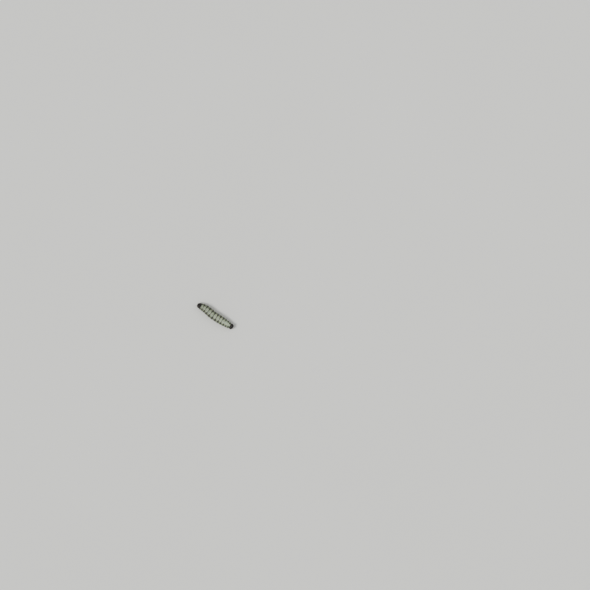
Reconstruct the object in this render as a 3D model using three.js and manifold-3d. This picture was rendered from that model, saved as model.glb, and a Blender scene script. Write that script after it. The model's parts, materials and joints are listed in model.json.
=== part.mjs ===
// A monarch butterfly larva late in its first instar, life size, standing level on its legs and prolegs.
// Millimetres, +Z up. The head faces -Y and the animal's left side is +X. The feet stand on the plane z = 0,
// and the origin is the middle of the footprint on that plane.
import * as THREE from "three";
import { mergeVertices } from "three/addons/utils/BufferGeometryUtils.js";
import Module from "manifold-3d";

const wasm = await Module();
wasm.setup();

// Driving dimensions. A station is the distance from the front of the head along the body.
const HEAD_LENGTH = 0.4; // what shows of the head in front of the neck
const GAP = 0.012; // between neighbouring solids
const CLEARANCE = { belly: 0.11, breast: 0.155, reach: 1.5 }; // above the floor, and how far back the breast lifts

// The body's rings behind the head, with the half width and half height at each one's middle.
const RINGS = [
  { name: "thorax_1", length: 0.26, halfWidth: 0.34, halfHeight: 0.3 },
  { name: "thorax_2", length: 0.295, halfWidth: 0.39, halfHeight: 0.345 },
  { name: "thorax_3", length: 0.32, halfWidth: 0.42, halfHeight: 0.375 },
  { name: "abdomen_1", length: 0.34, halfWidth: 0.44, halfHeight: 0.395 },
  { name: "abdomen_2", length: 0.36, halfWidth: 0.45, halfHeight: 0.405 },
  { name: "abdomen_3", length: 0.37, halfWidth: 0.455, halfHeight: 0.41 },
  { name: "abdomen_4", length: 0.38, halfWidth: 0.455, halfHeight: 0.41 },
  { name: "abdomen_5", length: 0.38, halfWidth: 0.455, halfHeight: 0.41 },
  { name: "abdomen_6", length: 0.37, halfWidth: 0.45, halfHeight: 0.405 },
  { name: "abdomen_7", length: 0.34, halfWidth: 0.43, halfHeight: 0.39 },
  { name: "abdomen_8", length: 0.305, halfWidth: 0.395, halfHeight: 0.355 },
  { name: "abdomen_9", length: 0.235, halfWidth: 0.345, halfHeight: 0.305 },
  { name: "abdomen_10", length: 0.275, halfWidth: 0.28, halfHeight: 0.24 },
];
const THORAX_RINGS = 3;
const TAIL_RING = RINGS.length - 1;

// How the body lies: nearly straight, bowed a little to its right. Its rear swings out to the left and back
// again, over the last stretch of the given length, and turn is how much of that swing it makes.
const BOW = 0.06;
const TAIL_SWING = { reach: 0.1, length: 2.1, turn: 0.95 };

// The cross-section, a superellipse that is squarer below, with a fold of skin along each flank.
// Angles are in radians up from the side.
const BACK_ROUNDNESS = 2.2;
const BELLY_ROUNDNESS = 2.6;
const BELLY_SHARE = 0.96; // the belly's half height as a share of the back's
const FLANK_FOLDS = [
  { angle: -0.42, width: 0.26, height: 0.045 },
  { angle: 0, width: 0.22, height: -0.025 },
];

// The folds round each ring, as shares of the girth and of the ring's length.
const JOINT_FOLD = { depth: 0.085, width: 0.075 };
const SMALL_FOLDS = { depth: 0.028, width: 0.035, at: [0.3, 0.66] };
const RING_SWELL = 0.015;
const COLLAR = { share: 0.2, length: 0.4 }; // the first ring narrows to the neck
const RING_SIDES = 22;
const RING_STEPS = [0, 0.09, 0.2, 0.3, 0.4, 0.5, 0.58, 0.66, 0.75, 0.9, 1];
const TAIL_STEPS = [0, 0.12, 0.3, 0.48, 0.64, 0.78, 0.89, 0.97, 1];
const TAIL_BLUNTNESS = 2.4; // how square the last ring's end is, as a superellipse's power
const TAIL_OVERHANG = 0.06; // the anal plate reaches this much further back than the underside

// Prolegs: radii and heights from the sole up, and the root's distance from the middle line.
const PROLEG = {
  sole: 0.085,
  soleEdge: { radius: 0.09, height: 0.018 },
  ankle: { radius: 0.07, height: 0.045 },
  calf: { radius: 0.105, height: 0.11 },
  root: { radius: 0.15, height: 0.27 },
  stance: 0.235,
  splay: 0.03, // the sole stands this much wider than the root
  rake: 0, // and this much further back
  place: 0.5, // share of the ring's length
};
const TAIL_PROLEG = {
  ...PROLEG,
  calf: { radius: 0.115, height: 0.11 },
  root: { radius: 0.13, height: 0.25 },
  stance: 0.15,
  rake: 0.05,
  place: 0.4,
};
const PROLEG_NUMBERS = [3, 4, 5, 6]; // the abdominal rings that carry a pair
const PROLEG_SIDES = 12;

// Thoracic legs: each joint's radius, height, and how far it stands out from and ahead of the hip.
const TRUE_LEG = {
  hip: { radius: 0.07, height: 0.27, out: 0, ahead: -0.01 },
  knee: { radius: 0.045, height: 0.15, out: 0.1, ahead: 0.035 },
  ankle: { radius: 0.028, height: 0.06, out: 0.085, ahead: 0.02 },
  claw: { radius: 0.01, height: 0, out: 0.04, ahead: 0 },
  spread: [0.15, 0.18, 0.2], // each pair's hips from the middle line, front pair first
};
const LEG_SIDES = 8;
// A leg's joint piece, told as a share of its length, and how much of its two end radii it takes there.
const JOINT_PROFILE = [
  [-0.12, 0, 0],
  [-0.06, 0.7, 0],
  [0.06, 1, 0],
  [0.55, 0.53, 0.53],
  [0.92, 0, 1.06],
  [1.05, 0, 0.7],
  [1.1, 0, 0],
];
const CLAW_PROFILE = [
  [-0.15, 0, 0],
  [-0.1, 0.7, 0],
  [0.15, 0.85, 0],
  [0.6, 0, 1.6],
  [1.2, 0, 1],
  [1.2, 0, 0],
];

// The fleshy bumps that grow into long filaments in later instars.
const FILAMENTS = [
  { name: "filament_front", ring: 1, place: 0.5, angle: 1.02, radius: 0.045, height: 0.075 },
  { name: "filament_rear", ring: 10, place: 0.5, angle: 1.05, radius: 0.035, height: 0.04 },
];
const FILAMENT_ROOT = 0.8; // where it starts, as a share of the way from the body's middle to the skin
const FILAMENT_PROFILE = [
  [0, 1],
  [0.5, 0.8],
  [0.85, 0.5],
  [1, 0],
];

// The head capsule, before it is tilted and the neck cuts it short.
const HEAD = {
  width: 0.64,
  height: 0.6,
  depth: 0.5,
  centreHeight: 0.45,
  tilt: 0.3, // radians that the mouth is swung forward from straight down
  jawNarrowing: 0.22,
  jawShortening: 0.06,
  jawPower: 1.6,
  sides: 28,
  rings: 18,
};
const CROWN_GROOVE = { depth: 0.035, width: 0.045, from: -0.1, to: 0.7 }; // between the two lobes, and its heights

// Places on the head are told in radians round from the face and up, or in millimetres from its centre.
const STEMMATA = { radius: 0.025, sunk: 0.985, round: 0.8, high: -0.33, spread: 0.215 };
const STEMMA_TURNS = [1.66, 2.53, 3.32, 4.1, 5.06, 0.35]; // where each lies on their open ring
const ANTENNA = { length: 0.14, radius: 0.036, round: 0.62, high: -0.8, sunk: 0.9, aim: [0.3, -0.75, -0.55] };
const ANTENNA_PROFILE = [
  [0, 1],
  [0.5, 0.95],
  [0.56, 0.66],
  [0.8, 0.62],
  [0.84, 0.42],
  [1, 0.33],
];
const MANDIBLE = { radius: 0.055, root: [0.064, -0.045, -0.22], tip: [0.052, -0.055, -0.34] };
const MANDIBLE_PROFILE = [
  [0, 0.95],
  [0.5, 1],
  [0.85, 0.7],
  [1, 0.3],
];
const MAXILLA = { radius: 0.04, root: [0.1, 0.062, -0.21], tip: [0.105, 0.032, -0.33] };
const MAXILLA_PROFILE = [
  [0, 0.95],
  [0.6, 1],
  [0.68, 0.5],
  [1, 0.4],
];
const LABIUM = { radius: 0.045, root: [0, 0.062, -0.215], tip: [0, 0.05, -0.325] };
const LABIUM_PROFILE = [
  [0, 1],
  [0.7, 0.9],
  [1, 0.5],
];
const SPINNERET = { radius: 0.014, root: [0, 0.052, -0.303], tip: [0, 0.042, -0.363] };
const SPINNERET_PROFILE = [
  [0, 1],
  [1, 0.6],
];
const LABRUM = { width: 0.18, height: 0.1, thickness: 0.04, notch: 0.03, side: 0.6, y: -0.11, z: -0.235 };

const FINISHES = {
  skin: { color: "#97a58c", roughness: 0.42 },
  tail: { color: "#23261f", roughness: 0.35 },
  head: { color: "#0d0d0c", roughness: 0.18 },
  mouth: { color: "#3a2c1f", roughness: 0.4 },
  leg: { color: "#1b1a18", roughness: 0.3 },
};
const SIDES = { left: 1, right: -1 };

const { lerp, smoothstep, clamp } = THREE.MathUtils;
const vector = ([x, y, z], side = 1) => new THREE.Vector3(side * x, y, z);
const bell = (x, width) => Math.exp(-((x / width) ** 2));
const ringStarts = RINGS.reduce((list, ring) => [...list, list.at(-1) + ring.length], [HEAD_LENGTH]);
const LENGTH = ringStarts.at(-1);
const stationOn = (ring, share) => ringStarts[ring] + share * RINGS[ring].length;

// The middle line's distance to the left of the frame's axis.
function lieAt(station) {
  const swing = Math.max(0, 1 - (LENGTH - station) / TAIL_SWING.length) * TAIL_SWING.turn;
  return TAIL_SWING.reach * Math.sin(Math.PI * swing) ** 2 - BOW * Math.sin((Math.PI * station) / LENGTH);
}

// The frame at a station: its origin on the floor under the middle line, its -Y along the body to the head.
function frameAt(station) {
  const step = 0.01;
  const heading = Math.atan2(lieAt(station + step) - lieAt(station - step), 2 * step);
  return new THREE.Matrix4().makeRotationZ(-heading).setPosition(lieAt(station), station - LENGTH / 2, 0);
}

// One of the rings' sizes, smoothly along the body.
function sizeAt(station, size) {
  const next = RINGS.findIndex((ring, i) => station < stationOn(i, 0.5));
  if (next === 0) return RINGS[0][size];
  if (next < 0) return RINGS[TAIL_RING][size];
  const [from, to] = [stationOn(next - 1, 0.5), stationOn(next, 0.5)];
  return lerp(RINGS[next - 1][size], RINGS[next][size], (station - from) / (to - from));
}

// How high the underside hangs at a station.
function clearanceAt(station) {
  return lerp(CLEARANCE.breast, CLEARANCE.belly, smoothstep(station, 0, CLEARANCE.reach));
}

// How the folds and the neck change the girth at a station.
function girthAt(station) {
  const ring = clamp(ringStarts.findLastIndex((start) => station >= start), 0, TAIL_RING);
  const share = (station - ringStarts[ring]) / RINGS[ring].length;
  let girth = 1 + RING_SWELL * Math.sin(Math.PI * share);
  girth -= JOINT_FOLD.depth * bell(share, JOINT_FOLD.width);
  if (ring < TAIL_RING) girth -= JOINT_FOLD.depth * bell(1 - share, JOINT_FOLD.width);
  for (const at of SMALL_FOLDS.at) girth -= SMALL_FOLDS.depth * bell(share - at, SMALL_FOLDS.width);
  if (ring === 0) girth -= COLLAR.share * Math.max(0, 1 - share / COLLAR.length) ** 2;
  return girth;
}

// A point of the skin, or inside it where reach is under 1, at an angle up from the body's left side.
function skinPoint(station, angle, reach = 1, offset = 0) {
  const [across, up] = [Math.cos(angle), Math.sin(angle)];
  const roundness = up < 0 ? BELLY_ROUNDNESS : BACK_ROUNDNESS;
  const fromSide = Math.asin(clamp(up, -1, 1));
  let out = (Math.abs(across) ** roundness + Math.abs(up) ** roundness) ** (-1 / roundness);
  for (const fold of FLANK_FOLDS) out *= 1 + fold.height * bell(fromSide - fold.angle, fold.width);
  out *= girthAt(station);
  const height = sizeAt(station, "halfHeight");
  const middle = clearanceAt(station) + height * BELLY_SHARE;
  return new THREE.Vector3(
    across * reach * (sizeAt(station, "halfWidth") * out + offset),
    0,
    middle + up * reach * (height * out * (up < 0 ? BELLY_SHARE : 1) + offset),
  ).applyMatrix4(frameAt(station));
}

// Moves a geometry's points by a function of each point.
function reshape(geometry, move) {
  const position = geometry.getAttribute("position");
  const point = new THREE.Vector3();
  for (let i = 0; i < position.count; i += 1) {
    const moved = move(point.fromBufferAttribute(position, i));
    position.setXYZ(i, moved.x, moved.y, moved.z);
  }
  return geometry;
}

// A turned shape whose profile's heights are stations, laid along the body. Radius 1 is the skin.
function alongBody(profile, offset = 0) {
  const points = profile.map(([station, reach]) => new THREE.Vector2(reach, station));
  return reshape(new THREE.LatheGeometry(points, RING_SIDES), (p) => {
    const tailShare = Math.max(0, (p.y - ringStarts[TAIL_RING]) / RINGS[TAIL_RING].length);
    const moved = skinPoint(p.y, Math.atan2(p.z, p.x), Math.hypot(p.x, p.z), offset);
    moved.y += TAIL_OVERHANG * tailShare * (0.5 + 0.5 * p.z);
    return moved;
  });
}

// A turned piece from one point to another. Its profile is told in shares of the length and the radius.
function turned(from, to, radius, profile) {
  const aim = to.clone().sub(from);
  const points = profile.map(([share, wide]) => new THREE.Vector2(wide * radius, share * aim.length()));
  const closed = [new THREE.Vector2(0, points[0].y), ...points, new THREE.Vector2(0, points.at(-1).y)];
  const turn = new THREE.Quaternion().setFromUnitVectors(new THREE.Vector3(0, 1, 0), aim.normalize());
  return new THREE.LatheGeometry(closed, LEG_SIDES).applyQuaternion(turn).translate(from.x, from.y, from.z);
}

// A closed geometry as a solid for joining and cutting, with its faces turned outwards.
function solidOf(geometry) {
  const bare = new THREE.BufferGeometry().setAttribute("position", geometry.getAttribute("position"));
  const merged = mergeVertices(bare.setIndex(geometry.index), 1e-5);
  const corners = merged.index.array;
  const faces = [];
  for (let i = 0; i < corners.length; i += 3) {
    const [a, b, c] = corners.subarray(i, i + 3);
    if (a !== b && b !== c && c !== a) faces.push([a, b, c]);
  }
  const build = (triangles) =>
    new wasm.Manifold(
      new wasm.Mesh({
        numProp: 3,
        vertProperties: merged.getAttribute("position").array,
        triVerts: new Uint32Array(triangles.flat()),
      }),
    );
  const solid = build(faces);
  return solid.volume() < 0 ? build(faces.map(([a, b, c]) => [a, c, b])) : solid;
}

// Joins geometries and cuts solids away, and keeps the largest closed body.
function fuse(geometries, cutters = []) {
  let solid = geometries.map(solidOf).reduce((a, b) => a.add(b));
  for (const cutter of cutters) solid = solid.subtract(cutter);
  return solid.decompose().reduce((a, b) => (b.volume() > a.volume() ? b : a));
}

const larva = new THREE.Group();
larva.name = "monarch_larva";

// Adds a named sub-part to the larva, with its geometry told from the frame that places it.
function addPart(name, finish, solid, frame) {
  const { vertProperties, triVerts } = solid.getMesh();
  const geometry = new THREE.BufferGeometry()
    .setAttribute("position", new THREE.BufferAttribute(new Float32Array(vertProperties), 3))
    .setIndex(new THREE.BufferAttribute(new Uint32Array(triVerts), 1))
    .applyMatrix4(frame.clone().invert());
  geometry.computeVertexNormals();
  const mesh = new THREE.Mesh(geometry, new THREE.MeshStandardMaterial({ ...FINISHES[finish], metalness: 0 }));
  mesh.name = name;
  frame.decompose(mesh.position, mesh.quaternion, mesh.scale);
  larva.add(mesh);
}

// The stations and reaches of one ring's outline, the last ring closing to a blunt end.
function ringOutline(ring, inset = 0) {
  const { length } = RINGS[ring];
  if (ring < TAIL_RING)
    return RING_STEPS.map((share) => [stationOn(ring, clamp(share, inset / length, 1 - inset / length)), 1]);
  return TAIL_STEPS.map((share) => [
    stationOn(ring, Math.max(share, inset / length)),
    (1 - share ** TAIL_BLUNTNESS) ** (1 / TAIL_BLUNTNESS),
  ]);
}

// Body rings. The whole body, grown by the gap, cuts the roots of all that it carries.
const wholeOutline = RINGS.flatMap((ring, i) => ringOutline(i).slice(i === 0 ? 0 : 1));
const bodyCutter = solidOf(alongBody([[HEAD_LENGTH, 0], ...wholeOutline], GAP));

RINGS.forEach(({ name }, ring) => {
  const outline = ringOutline(ring, GAP / 2);
  const closed = [[outline[0][0], 0], ...outline, [outline.at(-1)[0], 0]];
  addPart(name, ring === TAIL_RING ? "tail" : "skin", solidOf(alongBody(closed)), frameAt(stationOn(ring, 0.5)));
});

// Filament buds on the second thoracic and the eighth abdominal ring
function filament({ ring, place, angle, radius, height }, side) {
  const station = stationOn(ring, place);
  const up = side > 0 ? angle : Math.PI - angle;
  const root = skinPoint(station, up, FILAMENT_ROOT);
  const skin = skinPoint(station, up);
  const tip = skin.clone().addScaledVector(skin.clone().sub(root).normalize(), height);
  const sunk = root.distanceTo(skin) / root.distanceTo(tip);
  const bud = FILAMENT_PROFILE.map(([share, wide]) => [lerp(sunk, 1, share), wide]);
  return fuse([turned(root, tip, radius, [[0, 1], ...bud])], [bodyCutter]);
}

// Prolegs, with a flat sole on the floor
function proleg(size, frame, side) {
  const profile = [
    [0, 0],
    [size.sole, 0],
    [size.soleEdge.radius, size.soleEdge.height],
    [size.ankle.radius, size.ankle.height],
    [size.calf.radius, size.calf.height],
    [size.root.radius, size.root.height],
    [0, size.root.height],
  ].map(([radius, height]) => new THREE.Vector2(radius, height));
  const shaft = reshape(new THREE.LatheGeometry(profile, PROLEG_SIDES).rotateX(Math.PI / 2), (p) => {
    const low = 1 - p.z / size.root.height;
    return p.add(vector([size.stance + size.splay * low, size.rake * low, 0], side));
  });
  return fuse([shaft.applyMatrix4(frame)], [bodyCutter]);
}

// Thoracic legs: thigh, shin and a claw whose tip is a small flat on the floor
function trueLeg(pair, frame, side) {
  const { hip, knee, ankle, claw, spread } = TRUE_LEG;
  const place = ({ out, ahead, height }) => vector([spread[pair] + out, -ahead, height], side);
  const piece = (from, to, outline) => {
    const profile = outline.map(([share, first, second]) => [share, first * from.radius + second * to.radius]);
    return turned(place(from), place(to), 1, profile).applyMatrix4(frame);
  };
  const floor = solidOf(new THREE.BoxGeometry(2, 2, 0.2).translate(0, 0, -0.1).applyMatrix4(frame));
  return fuse(
    [piece(hip, knee, JOINT_PROFILE), piece(knee, ankle, JOINT_PROFILE), piece(ankle, claw, CLAW_PROFILE)],
    [bodyCutter, floor],
  );
}

for (const [word, side] of Object.entries(SIDES)) {
  for (const bud of FILAMENTS)
    addPart(`${bud.name}_${word}`, "leg", filament(bud, side), frameAt(stationOn(bud.ring, bud.place)));

  for (let pair = 0; pair < THORAX_RINGS; pair += 1) {
    const frame = frameAt(stationOn(pair, 0.5));
    addPart(`leg_${pair + 1}_${word}`, "leg", trueLeg(pair, frame, side), frame);
  }
  for (const number of PROLEG_NUMBERS) {
    const frame = frameAt(stationOn(THORAX_RINGS + number - 1, PROLEG.place));
    addPart(`proleg_${number}_${word}`, "skin", proleg(PROLEG, frame, side), frame);
  }
  const tailFrame = frameAt(stationOn(TAIL_RING, TAIL_PROLEG.place));
  addPart(`proleg_tail_${word}`, "tail", proleg(TAIL_PROLEG, tailFrame, side), tailFrame);
}

// The head's frame, at the capsule's centre and tilted with it
const headFrame = frameAt(HEAD.depth / 2)
  .multiply(new THREE.Matrix4().makeTranslation(0, 0, HEAD.centreHeight))
  .multiply(new THREE.Matrix4().makeRotationX(HEAD.tilt));

// The head's surface in a direction from its centre, with the jaw narrower and the crown in two lobes.
function headPoint({ x, y, z }, reach = 1) {
  const low = Math.max(0, -z);
  const narrow = 1 - HEAD.jawNarrowing * low ** HEAD.jawPower;
  const shallow = 1 - HEAD.jawShortening * low;
  const dip = CROWN_GROOVE.depth * smoothstep(z, CROWN_GROOVE.from, CROWN_GROOVE.to);
  const groove = (dip * bell((x * HEAD.width) / 2, CROWN_GROOVE.width)) / (HEAD.height / 2);
  return new THREE.Vector3(x * HEAD.width * narrow, y * HEAD.depth * shallow, z * HEAD.height)
    .divideScalar(2)
    .multiplyScalar(reach - groove);
}

// A point of the head's surface, told by how far round from the face and how high it lies.
function spotOnHead(round, high, side, reach) {
  const level = Math.cos(high);
  return headPoint(vector([Math.sin(round) * level, -Math.cos(round) * level, Math.sin(high)], side), reach);
}

const capsule = (reach) =>
  reshape(new THREE.SphereGeometry(1, HEAD.sides, HEAD.rings), (p) => headPoint(p, reach));
const headCutter = solidOf(capsule(1 + (2 * GAP) / HEAD.depth));
const neckCutter = solidOf(
  new THREE.BoxGeometry(2, 2, 2)
    .translate(0, 1, 0)
    .applyMatrix4(frameAt(HEAD_LENGTH - GAP / 2))
    .applyMatrix4(headFrame.clone().invert()),
);

// The six lenses on one side
function stemmata(side) {
  return STEMMA_TURNS.map((turn) => {
    const round = STEMMATA.round + STEMMATA.spread * Math.cos(turn);
    const high = STEMMATA.high + STEMMATA.spread * Math.sin(turn);
    const spot = spotOnHead(round, high, side, STEMMATA.sunk);
    return new THREE.SphereGeometry(STEMMATA.radius, 8, 6).translate(spot.x, spot.y, spot.z);
  });
}

function antenna(side) {
  const seat = spotOnHead(ANTENNA.round, ANTENNA.high, side, ANTENNA.sunk);
  const tip = seat.clone().addScaledVector(vector(ANTENNA.aim, side).normalize(), ANTENNA.length);
  return turned(seat, tip, ANTENNA.radius, ANTENNA_PROFILE);
}

// The upper lip, a notched plate in front of the jaws
function labrum() {
  const { width, height, thickness, notch, side, y, z } = LABRUM;
  const lip = new THREE.Shape();
  lip.moveTo(-width / 2, 0);
  lip.lineTo(-width / 2, -height * side);
  lip.quadraticCurveTo(-width / 2, -height, -width / 4, -height);
  lip.quadraticCurveTo(-notch, -height, 0, notch - height);
  lip.quadraticCurveTo(notch, -height, width / 4, -height);
  lip.quadraticCurveTo(width / 2, -height, width / 2, -height * side);
  lip.lineTo(width / 2, 0);
  const plate = new THREE.ExtrudeGeometry(lip, { depth: thickness, bevelEnabled: false, curveSegments: 4 });
  return plate.rotateX(Math.PI / 2).translate(0, y, z);
}

function addHeadPart(name, finish, geometries, cutters = [headCutter]) {
  addPart(name, finish, fuse(geometries, cutters).transform(headFrame.toArray()), headFrame);
}

const mouthPiece = ({ root, tip, radius }, profile, side = 1) =>
  turned(vector(root, side), vector(tip, side), radius, profile);

addHeadPart("head", "head", [capsule(1), ...stemmata(SIDES.left), ...stemmata(SIDES.right)], [neckCutter]);
addHeadPart("labrum", "mouth", [labrum()]);
addHeadPart("labium", "mouth", [mouthPiece(LABIUM, LABIUM_PROFILE), mouthPiece(SPINNERET, SPINNERET_PROFILE)]);

for (const [word, side] of Object.entries(SIDES)) {
  addHeadPart(`antenna_${word}`, "mouth", [antenna(side)]);
  addHeadPart(`mandible_${word}`, "mouth", [mouthPiece(MANDIBLE, MANDIBLE_PROFILE, side)]);
  addHeadPart(`maxilla_${word}`, "mouth", [mouthPiece(MAXILLA, MAXILLA_PROFILE, side)]);
}

// The whole stands with the middle of its footprint on the origin.
const box = new THREE.Box3().setFromObject(larva, true);
larva.position.set(-(box.min.x + box.max.x) / 2, -(box.min.y + box.max.y) / 2, 0);

export default larva;
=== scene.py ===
import json
import logging
import math
import random
from bisect import bisect_right
from collections.abc import Callable, Iterable
from dataclasses import dataclass, field
from enum import Enum
from functools import cached_property
from itertools import accumulate

import bmesh
import bpy
from bmesh.types import BMEdge, BMesh
from bpy.types import ID, Material, Mesh, NodeSocket, NodeTree, Object
from mathutils import Matrix, Vector, noise
from mathutils.bvhtree import BVHTree
from mathutils.geometry import intersect_point_line

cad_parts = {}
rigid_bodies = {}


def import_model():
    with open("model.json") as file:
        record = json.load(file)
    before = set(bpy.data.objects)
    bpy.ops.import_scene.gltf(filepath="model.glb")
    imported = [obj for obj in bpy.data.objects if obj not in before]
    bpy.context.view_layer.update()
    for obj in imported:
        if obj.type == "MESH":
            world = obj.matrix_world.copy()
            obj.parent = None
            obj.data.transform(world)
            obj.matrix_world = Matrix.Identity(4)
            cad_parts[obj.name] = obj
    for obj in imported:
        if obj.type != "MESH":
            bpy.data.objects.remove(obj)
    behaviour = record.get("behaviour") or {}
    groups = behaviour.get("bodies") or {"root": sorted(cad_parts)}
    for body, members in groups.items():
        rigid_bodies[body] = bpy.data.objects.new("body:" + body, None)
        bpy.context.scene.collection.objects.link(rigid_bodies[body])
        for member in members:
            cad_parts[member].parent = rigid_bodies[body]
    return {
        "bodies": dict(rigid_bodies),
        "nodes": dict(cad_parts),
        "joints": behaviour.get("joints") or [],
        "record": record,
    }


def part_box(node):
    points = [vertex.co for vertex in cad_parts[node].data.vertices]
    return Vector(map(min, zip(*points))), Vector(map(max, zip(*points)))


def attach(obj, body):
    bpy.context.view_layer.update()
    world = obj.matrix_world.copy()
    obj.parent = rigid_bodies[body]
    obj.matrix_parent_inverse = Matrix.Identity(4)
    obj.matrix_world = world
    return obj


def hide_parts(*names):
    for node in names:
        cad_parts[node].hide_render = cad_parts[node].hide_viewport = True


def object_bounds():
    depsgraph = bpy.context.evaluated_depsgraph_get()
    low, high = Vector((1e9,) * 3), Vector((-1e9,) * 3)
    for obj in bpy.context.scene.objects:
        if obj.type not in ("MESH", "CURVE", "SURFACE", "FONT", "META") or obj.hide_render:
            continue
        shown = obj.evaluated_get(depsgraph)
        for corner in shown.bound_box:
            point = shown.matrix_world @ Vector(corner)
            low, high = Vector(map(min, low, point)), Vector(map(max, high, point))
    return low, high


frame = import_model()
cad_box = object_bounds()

MM = 0.001
LOG = logging.getLogger("larva")


class Side(Enum):
    """The animal's own left and right, as the sign of X."""

    LEFT = 1
    RIGHT = -1

    @property
    def word(self) -> str:
        """The side's name as the node names spell it."""
        return self.name.lower()


def linear(hex_colour: str) -> tuple[float, float, float, float]:
    """Turns an sRGB hex colour to linear light.

    Args:
        hex_colour: Six hex digits after a hash.

    Returns:
        Linear red, green, blue, and an alpha of 1.
    """
    values = [int(hex_colour[i : i + 2], 16) / 255 for i in (1, 3, 5)]
    parts = [v / 12.92 if v <= 0.04045 else ((v + 0.055) / 1.055) ** 2.4 for v in values]
    return (*parts, 1.0)


def bell(x: float, width: float) -> float:
    """A smooth bump of height 1 and the given half width."""
    return math.exp(-((x / width) ** 2))


def mix(a: float, b: float, share: float) -> float:
    """The value a given share of the way from a to b."""
    return a + (b - a) * share


def smoothstep(x: float, low: float, high: float) -> float:
    """Rises smoothly from 0 at low to 1 at high."""
    t = min(1.0, max(0.0, (x - low) / (high - low)))
    return t * t * (3 - 2 * t)


def squareness(x: float, y: float) -> float:
    """The larger of two lengths as a share of their diagonal. Dividing by it turns a circle square."""
    return max(abs(x), abs(y), 1e-6) / max(math.hypot(x, y), 1e-6)


@dataclass(frozen=True)
class Ring:
    """One body ring, with its half width and half height at its middle."""

    name: str
    length: float
    half_width: float
    half_height: float


@dataclass(frozen=True)
class Fold:
    """A fold or groove of skin: where its middle lies, how wide and how deep it is."""

    at: float
    width: float
    depth: float


@dataclass(frozen=True)
class Section:
    """One section of the body, with what all its points share."""

    form: "BodyForm"
    frame: Matrix
    half_width: float
    half_height: float
    middle: float
    overhang: float

    def point(self, angle: float, reach: float = 1.0) -> Vector:
        """A point of the section.

        Args:
            angle: Radians up from the animal's left side.
            reach: Share of the way from the middle line to the skin.

        Returns:
            The point in the body's own frame.
        """
        form = self.form
        across, up = math.cos(angle), math.sin(angle)
        power = form.belly_roundness if up < 0 else form.back_roundness
        from_side = math.asin(max(-1.0, min(1.0, up)))
        out = (abs(across) ** power + abs(up) ** power) ** (-1 / power) * reach
        for fold in form.flank_folds:
            out *= 1 - fold.depth * bell(from_side - fold.at, fold.width)
        lift = self.middle + up * self.half_height * out * (form.belly_share if up < 0 else 1)
        spot = self.frame @ Vector((across * self.half_width * out, 0, lift))
        spot.y += self.overhang * (0.5 + 0.5 * up * reach)
        return spot


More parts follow.
